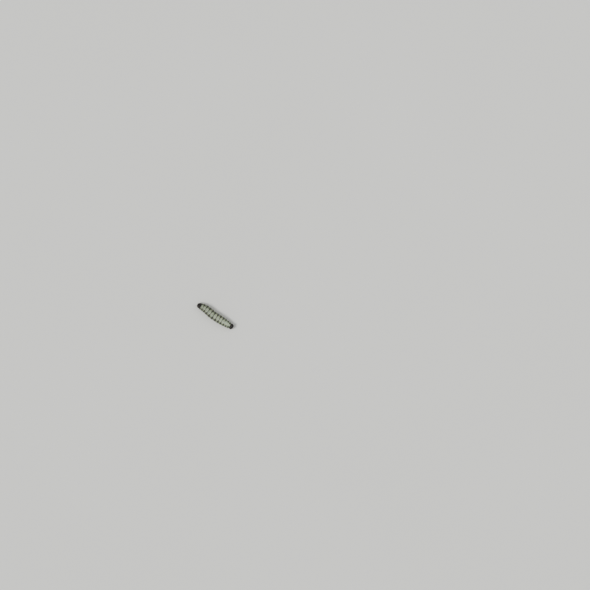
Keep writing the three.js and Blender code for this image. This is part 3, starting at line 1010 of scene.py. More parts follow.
@dataclass
class Skin:
    """The whole soft body and its prolegs in one skin with no seam."""

    form: BodyForm
    shop: Workshop
    around: int = 112
    body_rows: int = 340
    tail_rows: int = 30
    neck_depth: float = 0.05
    voxel: float = 0.0125
    floor_gap: float = 0.0005
    smoothings: int = 5
    proleg_steps: int = 24
    proleg_sides: int = 40
    plate_rise: float = 0.004
    plate_lift: float = 0.002
    rim_smoothings: int = 6
    tail_plate_from: float = 11.1
    # The folds finer than those of the solids: share of the ring, width in rings, and depth.
    fine_folds: tuple[Fold, ...] = (
        Fold(0.15, 0.022, 0.009),
        Fold(0.45, 0.024, 0.01),
        Fold(0.56, 0.02, 0.006),
        Fold(0.84, 0.024, 0.01),
    )
    belly_shield: Shield = Shield(0.5, 0.24, 0.3)
    tail_shield: Shield = Shield(0.45, 0.3, 0.21)
    shield_height: float = 0.125
    shield_half_height: float = 0.055
    shield_top: float = 0.22
    tree: BVHTree | None = None

    def body_shell(self) -> BMesh:
        """The body from collar to tail, closed at both ends.

        Returns:
            The shell's mesh.
        """
        rows = self.body_rows + self.tail_rows
        form = self.form
        front, tail_start = form.head_length - self.neck_depth, form.starts[form.tail]
        rims: list[tuple[Section, float]] = []
        for row in range(self.body_rows + 1):
            station = mix(front, tail_start, row / self.body_rows)
            inward = min(1.0, (station - front) / self.neck_depth)
            rims.append((form.section(station), math.sqrt(1 - (1 - inward) ** 2)))
        for row in range(1, self.tail_rows + 1):
            turn = row / self.tail_rows * math.pi / 2
            power = 2 / form.tail_bluntness
            station = mix(tail_start, form.length, math.sin(turn) ** power)
            rims.append((form.section(station), max(0.0, math.cos(turn)) ** power))

        def place(point: Vector) -> Vector:
            """Puts a point of the ball on the body.

            Args:
                point: The point of the ball.

            Returns:
                Its place on the body.
            """
            row = row_of(point, rows)
            section, reach = rims[row]
            return section.point(math.atan2(point.y, point.x), 0 if row in (0, rows) else reach)

        return ball(self.around, rows, place)

    def proleg_shell(self, clay: Clay, ring: int, size: ProlegSize, side: Side) -> None:
        """Adds one proleg, with its root sunk in the body.

        Args:
            clay: The mesh that it joins.
            ring: The number of the ring that carries it.
            size: Its sizes.
            side: Which side it is on.
        """
        steps = self.proleg_steps
        heights = [size.root[1] * (i / steps) ** 1.4 for i in range(steps + 1)]
        stops = [Stop(size.middle_at(h, side), size.radius_at(h)) for h in heights]
        clay.tube(stops, self.proleg_sides, self.form.frame_at(self.form.station(ring + size.place)))

    def fused(self) -> BMesh:
        """Melts body and prolegs into one surface.

        Returns:
            The smoothed mesh in millimetres.
        """
        clay = Clay()
        clay.take(self.body_shell())
        for name, size in PROLEGS.items():
            for side in Side:
                self.proleg_shell(clay, self.form.ring_number(name), size, side)
        draft = add_object("skin_draft", to_mesh("skin_draft", clay.bm))
        remesh = draft.modifiers.new("melt", "REMESH")
        remesh.mode = "VOXEL"
        remesh.voxel_size = self.voxel
        remesh.adaptivity = 0
        depsgraph = bpy.context.evaluated_depsgraph_get()
        melted = bpy.data.meshes.new_from_object(draft.evaluated_get(depsgraph))
        bpy.data.objects.remove(draft)
        bm = bmesh.new()
        bm.from_mesh(melted)
        axes = {"use_axis_x": True, "use_axis_y": True, "use_axis_z": True}
        for _ in range(self.smoothings):
            bmesh.ops.smooth_vert(bm, verts=bm.verts, factor=0.5, **axes)
        return bm

    def relief(self, count: float, from_back: float, point: Vector) -> float:
        """How far the fine folds lift or lower the skin.

        Args:
            count: The ring count at the point.
            from_back: How far round from the back it lies.
            point: The point itself.

        Returns:
            Millimetres outwards.
        """
        # The fine folds wander a little along each ring.
        ring, share = divmod(count, 1.0)
        drift = 0.05 * noise.noise(Vector((ring * 7.3, point.x * 4, point.z * 4)))
        height = -sum(fold.depth * bell(share - fold.at - drift, fold.width) for fold in self.fine_folds)
        # Wrinkles run round the body, and the low flank is puckered lengthwise.
        height += 0.007 * noise.noise(Vector((point.x * 9, count * 16, point.z * 9)))
        pucker = 0.014 * bell(from_back - 0.62, 0.1)
        height += pucker * noise.noise(Vector((point.x * 12, count * 7, point.z * 22)))
        # Soft lumps of 0.2 mm and dimples of 0.06 mm lie over everything.
        return height + 0.008 * noise.noise(point * 4.5) + 0.004 * noise.noise(point * 17)

    def plate_at(self, count: float, from_back: float, point: Vector) -> float:
        """How far the skin at a point is hardened to a dark plate, from 0 to 1.

        Args:
            count: The ring count at the point.
            from_back: How far round from the back it lies.
            point: The point in the body's own frame.

        Returns:
            The share of dark plate.
        """
        ragged = 0.12 * noise.noise(point * 18)
        # The collar's plate is a dark patch on each side of the back's pale middle line.
        across = abs(from_back - 0.17) / 0.11
        collar = 1 - smoothstep(math.hypot(across, (count - 0.52) / 0.27) + ragged, 0.85, 1.1)
        # The anal plate covers the top and end of the last ring, and the rear of the one before.
        start = mix(11.3, 11.85, smoothstep(from_back, 0.12, 0.34))
        tail = smoothstep(count - start + ragged * 0.5, -0.08, 0.06)
        tail *= smoothstep(point.z + ragged * 0.15, 0.3, 0.35)
        # Each proleg has a dark shield on its outer face.
        shield = 0.0
        number = min(int(count), self.form.tail)
        if self.form.rings[number].name in PROLEGS and point.z < self.shield_top:
            size = self.tail_shield if number == self.form.tail else self.belly_shield
            along = abs(count - number - size.share) / size.half_length
            up = (point.z - self.shield_height) / self.shield_half_height
            shield = 1 - smoothstep(math.hypot(along, up) + ragged, 0.75, 1.05)
            local = self.form.frame_at(self.form.station(number + 0.5)).inverted() @ point
            shield *= smoothstep(abs(local.x), size.out - 0.02, size.out + 0.02)
        return max(collar, tail, shield)

    def build(self, material: Material, horn: Material, tail: Material) -> None:
        """Makes the finished skin, with the attributes that its finish reads.

        Args:
            material: The soft cuticle.
            horn: The finish of the hard plates that lie on it.
            tail: The finish of the hard plate over its rear end.
        """
        bm = self.fused()
        bm.normal_update()
        layers = [bm.verts.layers.float.new(name) for name in ("ring_count", "from_back", "plate")]
        for vert in bm.verts:
            station, from_back = self.form.locate(vert.co)
            count = self.form.ring_count(station)
            plate = self.plate_at(count, from_back, vert.co)
            for layer, value in zip(layers, (count, from_back, plate)):
                vert[layer] = value
            rise = mix(self.relief(count, from_back, vert.co), self.plate_rise, plate)
            vert.co += vert.normal * rise
            vert.co.z = max(vert.co.z, self.floor_gap)
        self.tree = BVHTree.FromBMesh(bm)
        ends = (0.0, self.tail_plate_from, math.inf)
        self.build_plates(bm, "collar_and_leg_plates", "leg_shell", ends[:2], horn)
        self.build_plates(bm, "anal_plate", "tail_plate", ends[1:], tail)
        replaced = [ring.name for ring in self.form.rings]
        for name in PROLEGS:
            word = "tail" if name == "abdomen_10" else name.rsplit("_", 1)[1]
            replaced += [f"proleg_{word}_{side.word}" for side in Side]
        self.shop.finish(bm, "skin", material, "skin", replaced)

    def build_plates(
        self,
        skin: BMesh,
        name: str,
        slot: str,
        counts: tuple[float, float],
        finish: Material,
    ) -> None:
        """Makes the hard plates of some rings as one piece of thin shells lifted off the skin.

        Args:
            skin: The finished skin's mesh.
            name: The piece's name.
            slot: Its material slot in the record.
            counts: The ring counts that it lies between.
            finish: Its finish.
        """
        bm = skin.copy()
        plate, count = (bm.verts.layers.float[layer] for layer in ("plate", "ring_count"))
        first, last = counts
        bare = [
            face
            for face in bm.faces
            if any(v[plate] < 0.5 or not first <= v[count] < last for v in face.verts)
        ]
        bmesh.ops.delete(bm, geom=bare, context="FACES")
        for _ in range(self.rim_smoothings):
            self.smooth_rim(bm)
        bm.normal_update()
        for vert in bm.verts:
            vert.co += vert.normal * self.plate_lift
        bmesh.ops.solidify(bm, geom=bm.faces, thickness=self.plate_lift * 1.5)
        self.shop.finish(bm, name, finish, slot)

    def smooth_rim(self, bm: BMesh) -> None:
        """Draws each vertex of a plate's rim half way to its two neighbours, and back onto the skin.

        Args:
            bm: The plates' mesh.
        """
        places = {}
        for vert in bm.verts:
            along = [edge.other_vert(vert) for edge in vert.link_edges if edge.is_boundary]
            if len(along) == 2:
                places[vert] = vert.co.lerp((along[0].co + along[1].co) / 2, 0.5)
        for vert, place in places.items():
            vert.co = self.tree.find_nearest(place)[0]

    def seat(self, count: float, from_back: float, side: Side) -> tuple[Vector, Vector]:
        """A place on the finished skin and the way straight out of it.

        Args:
            count: The ring count of the place.
            from_back: How far round from the back it lies, from 0 to 1.
            side: Which side it is on.

        Returns:
            The place and the normal there.
        """
        angle = math.pi / 2 - side.value * from_back * math.pi
        section = self.form.section(self.form.station(count))
        inside, outside = section.point(angle, 0.5), section.point(angle, 1.3)
        aim = (inside - outside).normalized()
        place, normal, _, _ = self.tree.ray_cast(outside, aim)
        if place is None:
            return section.point(angle), -aim
        return place, normal if normal.dot(aim) < 0 else -normal


@dataclass(frozen=True)
class BristleRow:
    """Where a ring's bristles grow: share of the ring, how far round from the back, and length."""

    rings: tuple[int, ...]
    spots: tuple[tuple[float, float, float], ...]


COLLAR_BRISTLES = BristleRow(
    (0,),
    (
        (0.36, 0.08, 0.2),
        (0.38, 0.17, 0.19),
        (0.36, 0.26, 0.17),
        (0.7, 0.07, 0.16),
        (0.72, 0.15, 0.18),
        (0.68, 0.25, 0.13),
        (0.5, 0.42, 0.15),
        (0.62, 0.46, 0.13),
        (0.5, 0.62, 0.14),
        (0.6, 0.67, 0.11),
    ),
)
THORAX_BRISTLES = BristleRow(
    (1, 2),
    (
        (0.48, 0.06, 0.13),
        (0.5, 0.13, 0.15),
        (0.48, 0.24, 0.12),
        (0.5, 0.31, 0.15),
        (0.42, 0.42, 0.12),
        (0.55, 0.48, 0.14),
        (0.66, 0.45, 0.1),
        (0.5, 0.64, 0.12),
    ),
)
ABDOMEN_BRISTLES = BristleRow(
    tuple(range(3, 11)),
    (
        (0.36, 0.11, 0.13),
        (0.7, 0.16, 0.14),
        (0.47, 0.33, 0.14),
        (0.36, 0.35, 0.06),
        (0.5, 0.51, 0.12),
        (0.3, 0.55, 0.11),
        (0.62, 0.61, 0.12),
        (0.42, 0.71, 0.1),
        (0.56, 0.73, 0.09),
        (0.5, 0.9, 0.07),
    ),
)
LAST_BRISTLES = BristleRow(
    (11,),
    (
        (0.5, 0.1, 0.14),
        (0.55, 0.2, 0.15),
        (0.5, 0.33, 0.14),
        (0.5, 0.48, 0.12),
        (0.5, 0.62, 0.1),
        (0.5, 0.8, 0.08),
    ),
)
TAIL_BRISTLES = BristleRow(
    (12,),
    (
        (0.3, 0.1, 0.16),
        (0.42, 0.27, 0.17),
        (0.7, 0.09, 0.2),
        (0.78, 0.24, 0.21),
        (0.86, 0.38, 0.18),
        (0.5, 0.5, 0.14),
        (0.35, 0.6, 0.12),
        (0.7, 0.58, 0.13),
    ),
)


@dataclass
class Bristles:
    """The body's stiff dark bristles, each on a small hard button of cuticle."""

    skin: Skin
    shop: Workshop
    rows: tuple[BristleRow, ...] = (
        COLLAR_BRISTLES,
        THORAX_BRISTLES,
        ABDOMEN_BRISTLES,
        LAST_BRISTLES,
        TAIL_BRISTLES,
    )
    radius: float = 0.0033
    tip: float = 0.0004
    taper: float = 0.75
    sunk: float = 0.006
    steps: int = 9
    sides: int = 6
    button: float = 0.0145
    floor_gap: float = 0.004
    # What chance adds along X, Y and Z to a bristle's aim and to the bend of its tip.
    aim_ranges: tuple[tuple[float, float], ...] = ((-0.2, 0.2), (-0.05, 0.35), (-0.1, 0.2))
    bend_ranges: tuple[tuple[float, float], ...] = ((-0.12, 0.12), (0.05, 0.3), (-0.25, 0.0))
    stretch: tuple[float, float] = (0.88, 1.12)
    stray_along: float = 0.02
    stray_round: float = 0.008
    chance: random.Random = field(default_factory=lambda: random.Random(7))
    coat: Clay = field(default_factory=Clay)

    def draw(self, ranges: tuple[tuple[float, float], ...]) -> Vector:
        """A vector drawn by chance, from one range for each axis."""
        return Vector([self.chance.uniform(*span) for span in ranges])

    def grow(self, root: Vector, aim: Vector, length: float, spot: tuple[float, float]) -> None:
        """Adds one tapered bristle, bent a little back and down.

        Args:
            root: Where it grows.
            aim: The way it leaves the skin.
            length: Its length.
            spot: Its root's place on the skin's unwrap.
        """
        aim = (aim + self.draw(self.aim_ranges)).normalized()
        bend = self.draw(self.bend_ranges)
        length = length * self.chance.uniform(*self.stretch) + self.sunk
        path = bent_path(root - aim * self.sunk, aim, length, bend, self.steps)
        # A bristle that would reach through the floor is bent up towards its tip instead.
        lift = max(0.0, self.floor_gap - path[-1].z)
        path = [p + Vector((0, 0, lift * (i / self.steps) ** 1.5)) for i, p in enumerate(path)]
        stops = spike(path, self.radius, self.tip, self.taper)
        self.coat.take(tube(stops, self.sides), spot=spot)

    def unwrap(self, count: float, from_back: float, side: Side) -> tuple[float, float]:
        """A place on the skin's unwrap, slit along the belly: along the body, then round it."""
        along = self.skin.form.station(count) / self.skin.form.length
        return along, 0.5 + 0.5 * side.value * from_back

    def build(self, hair: Material, horn: Material) -> None:
        """Makes all the body's bristles and their buttons.

        Args:
            hair: The bristles' finish.
            horn: The buttons' finish.
        """
        buttons = Clay()
        for row in self.rows:
            for ring in row.rings:
                for share, from_back, length in row.spots:
                    for side in Side:
                        count = ring + share + self.chance.uniform(-self.stray_along, self.stray_along)
                        round_back = from_back + self.chance.uniform(-self.stray_round, self.stray_round)
                        root, normal = self.skin.seat(count, round_back, side)
                        self.grow(root, normal, length, self.unwrap(count, round_back, side))
                        self.add_button(buttons, root, normal, length)
        self.shop.finish(buttons.bm, "bristle_buttons", horn, "leg_shell")

    def add_button(self, buttons: Clay, root: Vector, normal: Vector, length: float) -> None:
        """Adds the low round button that a bristle stands on, with a raised socket at its middle.

        Args:
            buttons: The mesh that it joins.
            root: Where the bristle grows.
            normal: The way straight out of the skin.
            length: The bristle's length. A longer one has a wider button.
        """
        wide = self.button * (0.7 + 2.2 * length)

        def shape(point: Vector) -> Vector:
            """Flattens the ball to a dome with a socket.

            Args:
                point: The point of the ball.

            Returns:
                Its place on the button.
            """
            reach = math.hypot(point.x, point.y)
            rise = 0.22 * point.z + (0.3 * bell(reach - 0.3, 0.13) if point.z > 0 else 0)
            return Vector((point.x, point.y, rise)) * wide

        turn = normal.to_track_quat("Z", "Y").to_matrix().to_4x4()
        buttons.take(ball(12, 8, shape), Matrix.Translation(root) @ turn)


@dataclass
class Spiracles:
    """The oval breathing holes along each flank, with a raised dark rim."""

    skin: Skin
    shop: Workshop
    collar: tuple[float, float, float] = (0.78, 0.5, 0.026)
    # The abdomen's first eight rings.
    rings: range = range(3, 11)
    share: float = 0.42
    from_back: float = 0.47
    half_height: float = 0.02
    last_half_height: float = 0.026

    def build(self, material: Material) -> None:
        """Makes all the breathing holes.

        Args:
            material: The rim's finish.
        """
        clay = Clay()
        places = [self.collar]
        for ring in self.rings:
            size = self.last_half_height if ring == self.rings[-1] else self.half_height
            places.append((ring + self.share, self.from_back, size))
        for count, from_back, size in places:
            for side in Side:
                root, normal = self.skin.seat(count, from_back, side)
                across = Vector((0, 1, 0)).cross(normal).normalized()
                turn = Matrix((across.cross(normal), across, normal)).transposed().to_4x4()
                place = Matrix.Translation(root) @ turn
                clay.pale = 0.0
                clay.take(ball(28, 16, self.rim(size)), place)
                clay.pale = 0.4
                slit = Vector((0.3, 0.55, 0.12)) * size
                clay.take(ball(16, 8, lambda p, s=slit: Vector(a * b for a, b in zip(p, s))), place)
        self.shop.finish(clay.bm, "spiracles", material, "leg_shell")

    @staticmethod
    def rim(size: float) -> Callable[[Vector], Vector]:
        """The shape of one hole: an oval rim round a dented middle.

        Args:
            size: Half its height.

        Returns:
            What gives each point of a ball its place.
        """

        def shape(point: Vector) -> Vector:
            """Puts a point of the ball on the hole.

            Args:
                point: The point of the ball.

            Returns:
                Its place on the hole.
            """
            reach = math.hypot(point.x, point.y)
            rise = -0.25 if point.z < 0 else 0.3 * bell(reach - 0.76, 0.16) - 0.08 * bell(reach, 0.4)
            return Vector((point.x * 0.76, point.y, rise)) * size

        return shape


@dataclass(frozen=True)
class Bud:
    """A fleshy bump that grows into a long filament in later stages."""

    name: str
    count: float
    angle: float
    radius: float
    height: float


@dataclass
class FilamentBuds:
    """The two pairs of dark buds on the back, in front and behind."""

    form: BodyForm
    shop: Workshop
    buds: tuple[Bud, ...] = (
        Bud("filament_front", 1.5, 1.02, 0.043, 0.075),
        Bud("filament_rear", 10.5, 1.05, 0.034, 0.04),
    )
    root_reach: float = 0.88
    lean: float = 0.12
    taper: float = 0.3
    # Each bud has five and a half ripples from root to tip.
    ripple: float = 0.035
    ripple_turns: float = 11 * math.pi
    steps: int = 22

    def build(self, material: Material) -> None:
        """Makes all four buds, ringed like a thimble and leaning a little.

        Args:
            material: Their finish.
        """
        for bud in self.buds:
            for side in Side:
                angle = bud.angle if side is Side.LEFT else math.pi - bud.angle
                station = self.form.station(bud.count)
                root = self.form.point(station, angle, self.root_reach)
                skin = self.form.point(station, angle)
                aim = (skin - root).normalized()
                length = (skin - root).length + bud.height
                ahead = -self.lean if "front" in bud.name else self.lean
                lean = Vector((side.value * self.lean / 2, ahead, 0))
                path = bent_path(root, aim, length, lean, self.steps)
                stops = []
                for i, middle in enumerate(path):
                    share = i / self.steps
                    rippled = 1 + self.ripple * math.sin(share * self.ripple_turns)
                    radius = bud.radius * (1 - self.taper * share) * (1 - share**5) ** 0.5 * rippled
                    stops.append(Stop(middle, max(radius, 0.001)))
                clay = Clay()
                clay.tube(stops, 28)
                name = f"{bud.name}_{side.word}"
                self.shop.finish(clay.bm, f"{name}_bud", material, "leg_shell", [name])


@dataclass(frozen=True)
class Joint:
    """A joint of a thoracic leg: its height, and how far it stands out from and ahead of the hip."""

    height: float
    out: float
    ahead: float


@dataclass
class ThoracicLegs:
    """Three pairs of short black jointed legs, each with one curved claw."""

    form: BodyForm
    shop: Workshop
    bristles: Bristles
    hip: Joint = Joint(0.27, 0.0, -0.01)
    knee: Joint = Joint(0.15, 0.1, 0.035)
    ankle: Joint = Joint(0.06, 0.085, 0.02)
    claw: Joint = Joint(0.0, 0.04, 0.0)
    spread: tuple[float, ...] = (0.15, 0.18, 0.2)
    coxa_share: float = 0.42
    claw_share: float = 0.42
    # The two radii of each of the four hard tubes, and the radius of the soft joint after it.
    tube_radii: tuple[tuple[float, float], ...] = (
        (0.074, 0.056),
        (0.051, 0.044),
        (0.041, 0.03),
        (0.027, 0.021),
    )
    soft_radii: tuple[float, ...] = (0.034, 0.0265, 0.0165, 0.012)
    tube_swell: float = 0.06
    claw_radius: float = 0.0125
    claw_tip: float = 0.0008
    claw_steps: int = 10
    bristle_length: float = 0.055
    sides: int = 20
    steps: int = 14

    def place(self, joint: Joint, pair: int, side: Side) -> Vector:
        """A joint's place in its ring's frame."""
        return Vector((side.value * (self.spread[pair] + joint.out), -joint.ahead, joint.height))

    def build(self, shell: Material) -> None:
        """Makes all six legs.

        Args:
            shell: The black shell's finish. It is pale at the joints and amber at the claws.
        """
        for pair in range(3):
            for side in Side:
                self.build_leg(pair, side, shell)

    def build_leg(self, pair: int, side: Side, shell: Material) -> None:
        """Makes one leg of four hard tubes, with soft pale joints between them, and a claw.

        Args:
            pair: The pair's number from the front, counted from 0.
            side: Which side it is on.
            shell: The shell's finish.
        """
        joints = (self.hip, self.knee, self.ankle, self.claw)
        hip, knee, ankle, tip = (self.place(joint, pair, side) for joint in joints)
        frame = self.form.frame_at(self.form.station(pair + 0.5))
        middle = hip.lerp(knee, self.coxa_share)
        wrist = ankle.lerp(tip, self.claw_share)
        clay = Clay()
        # The first two tubes reach a little into the next one.
        ends = (middle.lerp(knee, 0.02), knee.lerp(ankle, 0.02), ankle, wrist)
        for start, end, radii in zip((hip, middle, knee, ankle), ends, self.tube_radii):
            clay.tube(barrel(start, end, *radii, self.tube_swell, self.steps), self.sides, frame)
        clay.pale = 0.2
        for joint, radius in zip((middle, knee, ankle, wrist), self.soft_radii):
            clay.take(ball(16, 10, lambda p, j=joint, r=radius: j + p * r), frame)
        clay.pale = 0.45
        down = (tip - wrist).normalized()
        hook = Vector((-side.value * 0.5, 0.25, 0))
        root = wrist - down * 0.004
        length = root.z / -(down.z) - 0.001
        path = bent_path(root, down - hook * 0.5, length, hook * 0.5, self.claw_steps)
        clay.tube(spike(path, self.claw_radius, self.claw_tip, 0.7), 12, frame)
        # Where the bristles stand: how far along a tube, how far round it, and how far out.
        for share, turn in ((0.3, 0.3), (0.55, 1.7), (0.8, -0.9)):
            out = Vector((side.value * math.cos(turn), -math.sin(turn), 0.1)).normalized()
            for start, end, radius in ((middle, knee, 0.048), (knee, ankle, 0.034)):
                root = frame @ (start.lerp(end, share) + out * radius * 0.9)
                spot = self.bristles.unwrap(pair + 0.5, 0.72, side)
                self.bristles.grow(root, frame.to_3x3() @ out, self.bristle_length, spot)
        name = f"leg_{pair + 1}_{side.word}"
        self.shop.finish(clay.bm, f"{name}_shell", shell, "leg_shell", [name])


@dataclass
class Crochets:
    """The rows of tiny amber hooks round the inner edge of each proleg's sole."""

    form: BodyForm
    shop: Workshop
    hooks: int = 15
    sweep: float = 2.6
    length: float = 0.02
    radius: float = 0.0024
    tip: float = 0.0004
    height: float = 0.012
    inset: float = 0.002
    droop: float = 0.42
    curl: float = 0.7
    steps: int = 6

    def build(self, material: Material) -> None:
        """Makes all the hooks.

        Args:
            material: Their finish.
        """
        clay = Clay(pale=0.45)
        for name, size in PROLEGS.items():
            frame = self.form.frame_at(self.form.station(self.form.ring_number(name) + size.place))
            for side in Side:
                middle = size.middle_at(self.height, side)
                for i in range(self.hooks):
                    turn = math.pi + self.sweep * (i / (self.hooks - 1) - 0.5)
                    out = Vector((side.value * math.cos(turn), math.sin(turn), 0))
                    root = middle + out * (size.sole - self.inset)
                    bend = Vector((0, 0, -self.droop)) - out * self.curl
                    path = bent_path(root, out, self.length, bend, self.steps)
                    clay.tube(spike(path, self.radius, self.tip), 6, frame)
        self.shop.finish(clay.bm, "proleg_hooks", material, "leg_shell")


@dataclass(frozen=True)
class HeadForm:
    """The head capsule's shape, tilted so that the mouth looks a little forward."""

    body: BodyForm
    width: float = 0.64
    height: float = 0.6
    depth: float = 0.5
    centre_height: float = 0.45
    tilt: float = 0.3
    jaw_narrowing: float = 0.22
    jaw_shortening: float = 0.06
    jaw_power: float = 1.6
    crown_groove: Fold = Fold(0.0, 0.05, 0.025)
    groove_heights: tuple[float, float] = (-0.1, 0.7)
    feeler_round: float = 0.62
    feeler_high: float = -0.8

    @cached_property
    def frame(self) -> Matrix:
        """The frame at the capsule's centre, tilted with it."""
        lift = Matrix.Translation((0, 0, self.centre_height))
        return self.body.frame_at(self.depth / 2) @ lift @ Matrix.Rotation(self.tilt, 4, "X")

    def point(self, direction: Vector, reach: float = 1.0) -> Vector:
        """The capsule's surface in a direction from its centre, in its own frame.

        Args:
            direction: The way from the centre, one unit long.
            reach: Share of the way from the centre to the surface.

        Returns:
            The point.
        """
        x, y, z = direction
        low = max(0.0, -z)
        narrow = 1 - self.jaw_narrowing * low**self.jaw_power
        shallow = 1 - self.jaw_shortening * low
        dip = self.crown_groove.depth * smoothstep(z, *self.groove_heights)
        groove = dip * bell(x * self.width / 2, self.crown_groove.width) / (self.height / 2)
        spot = Vector((x * self.width * narrow, y * self.depth * shallow, z * self.height)) / 2
        return spot * (reach - groove)

    def direction(self, turn: float, high: float, side: Side) -> Vector:
        """A direction told by how far round from the face and how high it looks."""
        level = math.cos(high)
        return Vector((side.value * math.sin(turn) * level, -math.cos(turn) * level, math.sin(high)))

    def feeler_way(self, side: Side) -> Vector:
        """The direction in which a feeler's socket lies."""
        return self.direction(self.feeler_round, self.feeler_high, side)


@dataclass
class Head:
    """The black capsule with its seams, its twelve lenses and its bristles."""

    form: HeadForm
    shop: Workshop
    bristles: Bristles
    around: int = 280
    rows: int = 170
    seam: Fold = Fold(0.0, 0.007, 0.0065)
    # The face's seams, each with its share of the full depth, and its ends beside and above the middle.
    seams: tuple[tuple[float, tuple[float, float], tuple[float, float]], ...] = (
        (1.0, (0.0, 0.4), (0.0, 0.015)),
        (1.0, (0.0, 0.015), (0.118, -0.2)),
        (0.7, (0.118, -0.2), (0.0, -0.212)),
        (0.5, (0.0, 0.085), (0.148, -0.19)),
    )
    seams_back: float = 0.02
    # Where the soft pale skin ends: out from a socket, out from the mouth's middle, and above it.
    socket_edge: tuple[float, float] = (0.04, 0.05)
    mouth_edge: tuple[float, float] = (0.1, 0.13)
    mouth_top: tuple[float, float] = (-0.27, -0.24)
    soft_paleness: float = 0.9
    socket_rim: Fold = Fold(0.047, 0.01, 0.008)
    neck_overlap: float = 0.006
    # Six lenses lie on a ring about one direction on each side, each at its own turn.
    lens: float = 0.0235
    lens_sunk: float = 0.955
    lens_round: float = 0.8
    lens_high: float = -0.33
    lens_spread: float = 0.215
    lens_turns: tuple[float, ...] = (1.66, 2.53, 3.32, 4.1, 5.06, 0.35)
    # How far round from the face and how high each bristle grows, and its length.
    bristle_spots: tuple[tuple[float, float, float], ...] = (
        (0.13, -0.36, 0.1),
        (0.17, -0.66, 0.08),
        (0.36, -0.7, 0.07),
        (0.16, -0.02, 0.11),
        (0.12, 0.16, 0.09),
        (0.34, 0.28, 0.16),
        (0.3, 0.62, 0.14),
        (0.52, -0.48, 0.1),
        (0.6, -0.2, 0.13),
        (0.78, 0.0, 0.15),
        (0.86, 0.32, 0.14),
        (1.06, -0.28, 0.11),
        (1.2, -0.02, 0.14),
        (1.4, -0.42, 0.1),
        (1.12, -0.62, 0.09),
        (1.36, 0.4, 0.12),
    )

    def seam_depth(self, spot: Vector) -> float:
        """How deep the seams between the face's plates run at a spot of the capsule.

        Args:
            spot: A spot in the capsule's own frame.

        Returns:
            The depth in millimetres.
        """
        if spot.y > self.seams_back:
            return 0.0
        face = Vector((abs(spot.x), spot.z, 0))
        depth = 0.0
        for share, *ends in self.seams:
            start, end = (Vector((*place, 0)) for place in ends)
            near, along = intersect_point_line(face, start, end)
            near = start.lerp(end, min(max(along, 0), 1))
            depth = max(depth, share * self.seam.depth * bell((face - near).length, self.seam.width))
        return depth

    def capsule(self) -> BMesh:
        """The capsule in its own frame, with seams, dimples and soft sockets, cut off at the neck.

        Returns:
            The capsule's mesh.
        """
        form = self.form
        socket = form.point(form.feeler_way(Side.LEFT))
        bm = ball(self.around, self.rows, form.point)
        bmesh.ops.recalc_face_normals(bm, faces=bm.faces)
        bm.normal_update()
        layer = bm.verts.layers.float.new("pale")
        for vert in bm.verts:
            # The feelers' sockets and the skin round the mouth are soft and pale.
            spot = vert.co.copy()
            mirrored = Vector((abs(spot.x), spot.y, spot.z))
            near_socket = (mirrored - socket).length
            mouth = math.hypot(spot.x / 1.1, spot.y + 0.02)
            vert[layer] = self.soft_paleness * max(
                1 - smoothstep(near_socket, *self.socket_edge),
                (1 - smoothstep(mouth, *self.mouth_edge)) * (1 - smoothstep(spot.z, *self.mouth_top)),
            )
            # A grain of 0.03 mm over dents of 0.14 mm, with the seams and a rim round each socket.
            rough = 0.0012 * noise.noise(spot * 30) + 0.003 * noise.noise(spot * 7)
            vert.co += vert.normal * (rough - self.seam_depth(spot))
            rim = bell(near_socket - self.socket_rim.at, self.socket_rim.width)
            vert.co += vert.normal * self.socket_rim.depth * rim
        neck = form.body.frame_at(form.body.head_length - self.neck_overlap)
        local = form.frame.inverted() @ neck
        cut = bmesh.ops.bisect_plane(
            bm,
            geom=[*bm.verts, *bm.edges, *bm.faces],
            plane_co=local.translation,
            plane_no=local.to_3x3() @ Vector((0, 1, 0)),
            clear_outer=True,
        )
        edges = [item for item in cut["geom_cut"] if isinstance(item, BMEdge)]
        bmesh.ops.contextual_create(bm, geom=edges)
        return bm

    def build(self, shell: Material, clear: Material) -> None:
        """Makes capsule, lenses and bristles.

        Args:
            shell: The capsule's finish.
            clear: The lenses' finish.
        """
        clay = Clay()
        clay.take(self.capsule(), self.form.frame)
        lenses = Clay()
        frame = self.form.frame
        for side in Side:
            for turn in self.lens_turns:
                aim = self.form.direction(
                    self.lens_round + self.lens_spread * math.cos(turn),
                    self.lens_high + self.lens_spread * math.sin(turn),
                    side,
                )
                spot = self.form.point(aim, self.lens_sunk)
                lenses.take(ball(28, 18, lambda p, s=spot: s + p * self.lens), frame)
            for turn, high, length in self.bristle_spots:
                aim = self.form.direction(turn, high, side)
                root = frame @ self.form.point(aim)
                out = (frame.to_3x3() @ aim).normalized()
                # The head's bristles take the front edge of the skin's unwrap.
                spot = (0.01 + 0.035 * turn / math.pi, 0.5 + side.value * (0.25 - high * 0.15))
                self.bristles.grow(root, out, length, spot)
                self.bristles.add_button(clay, root, out, 0.0)
        self.shop.finish(clay.bm, "head_capsule", shell, "head_shell", ["head"])
        self.shop.finish(lenses.bm, "eye_lenses", clear, "head_shell")


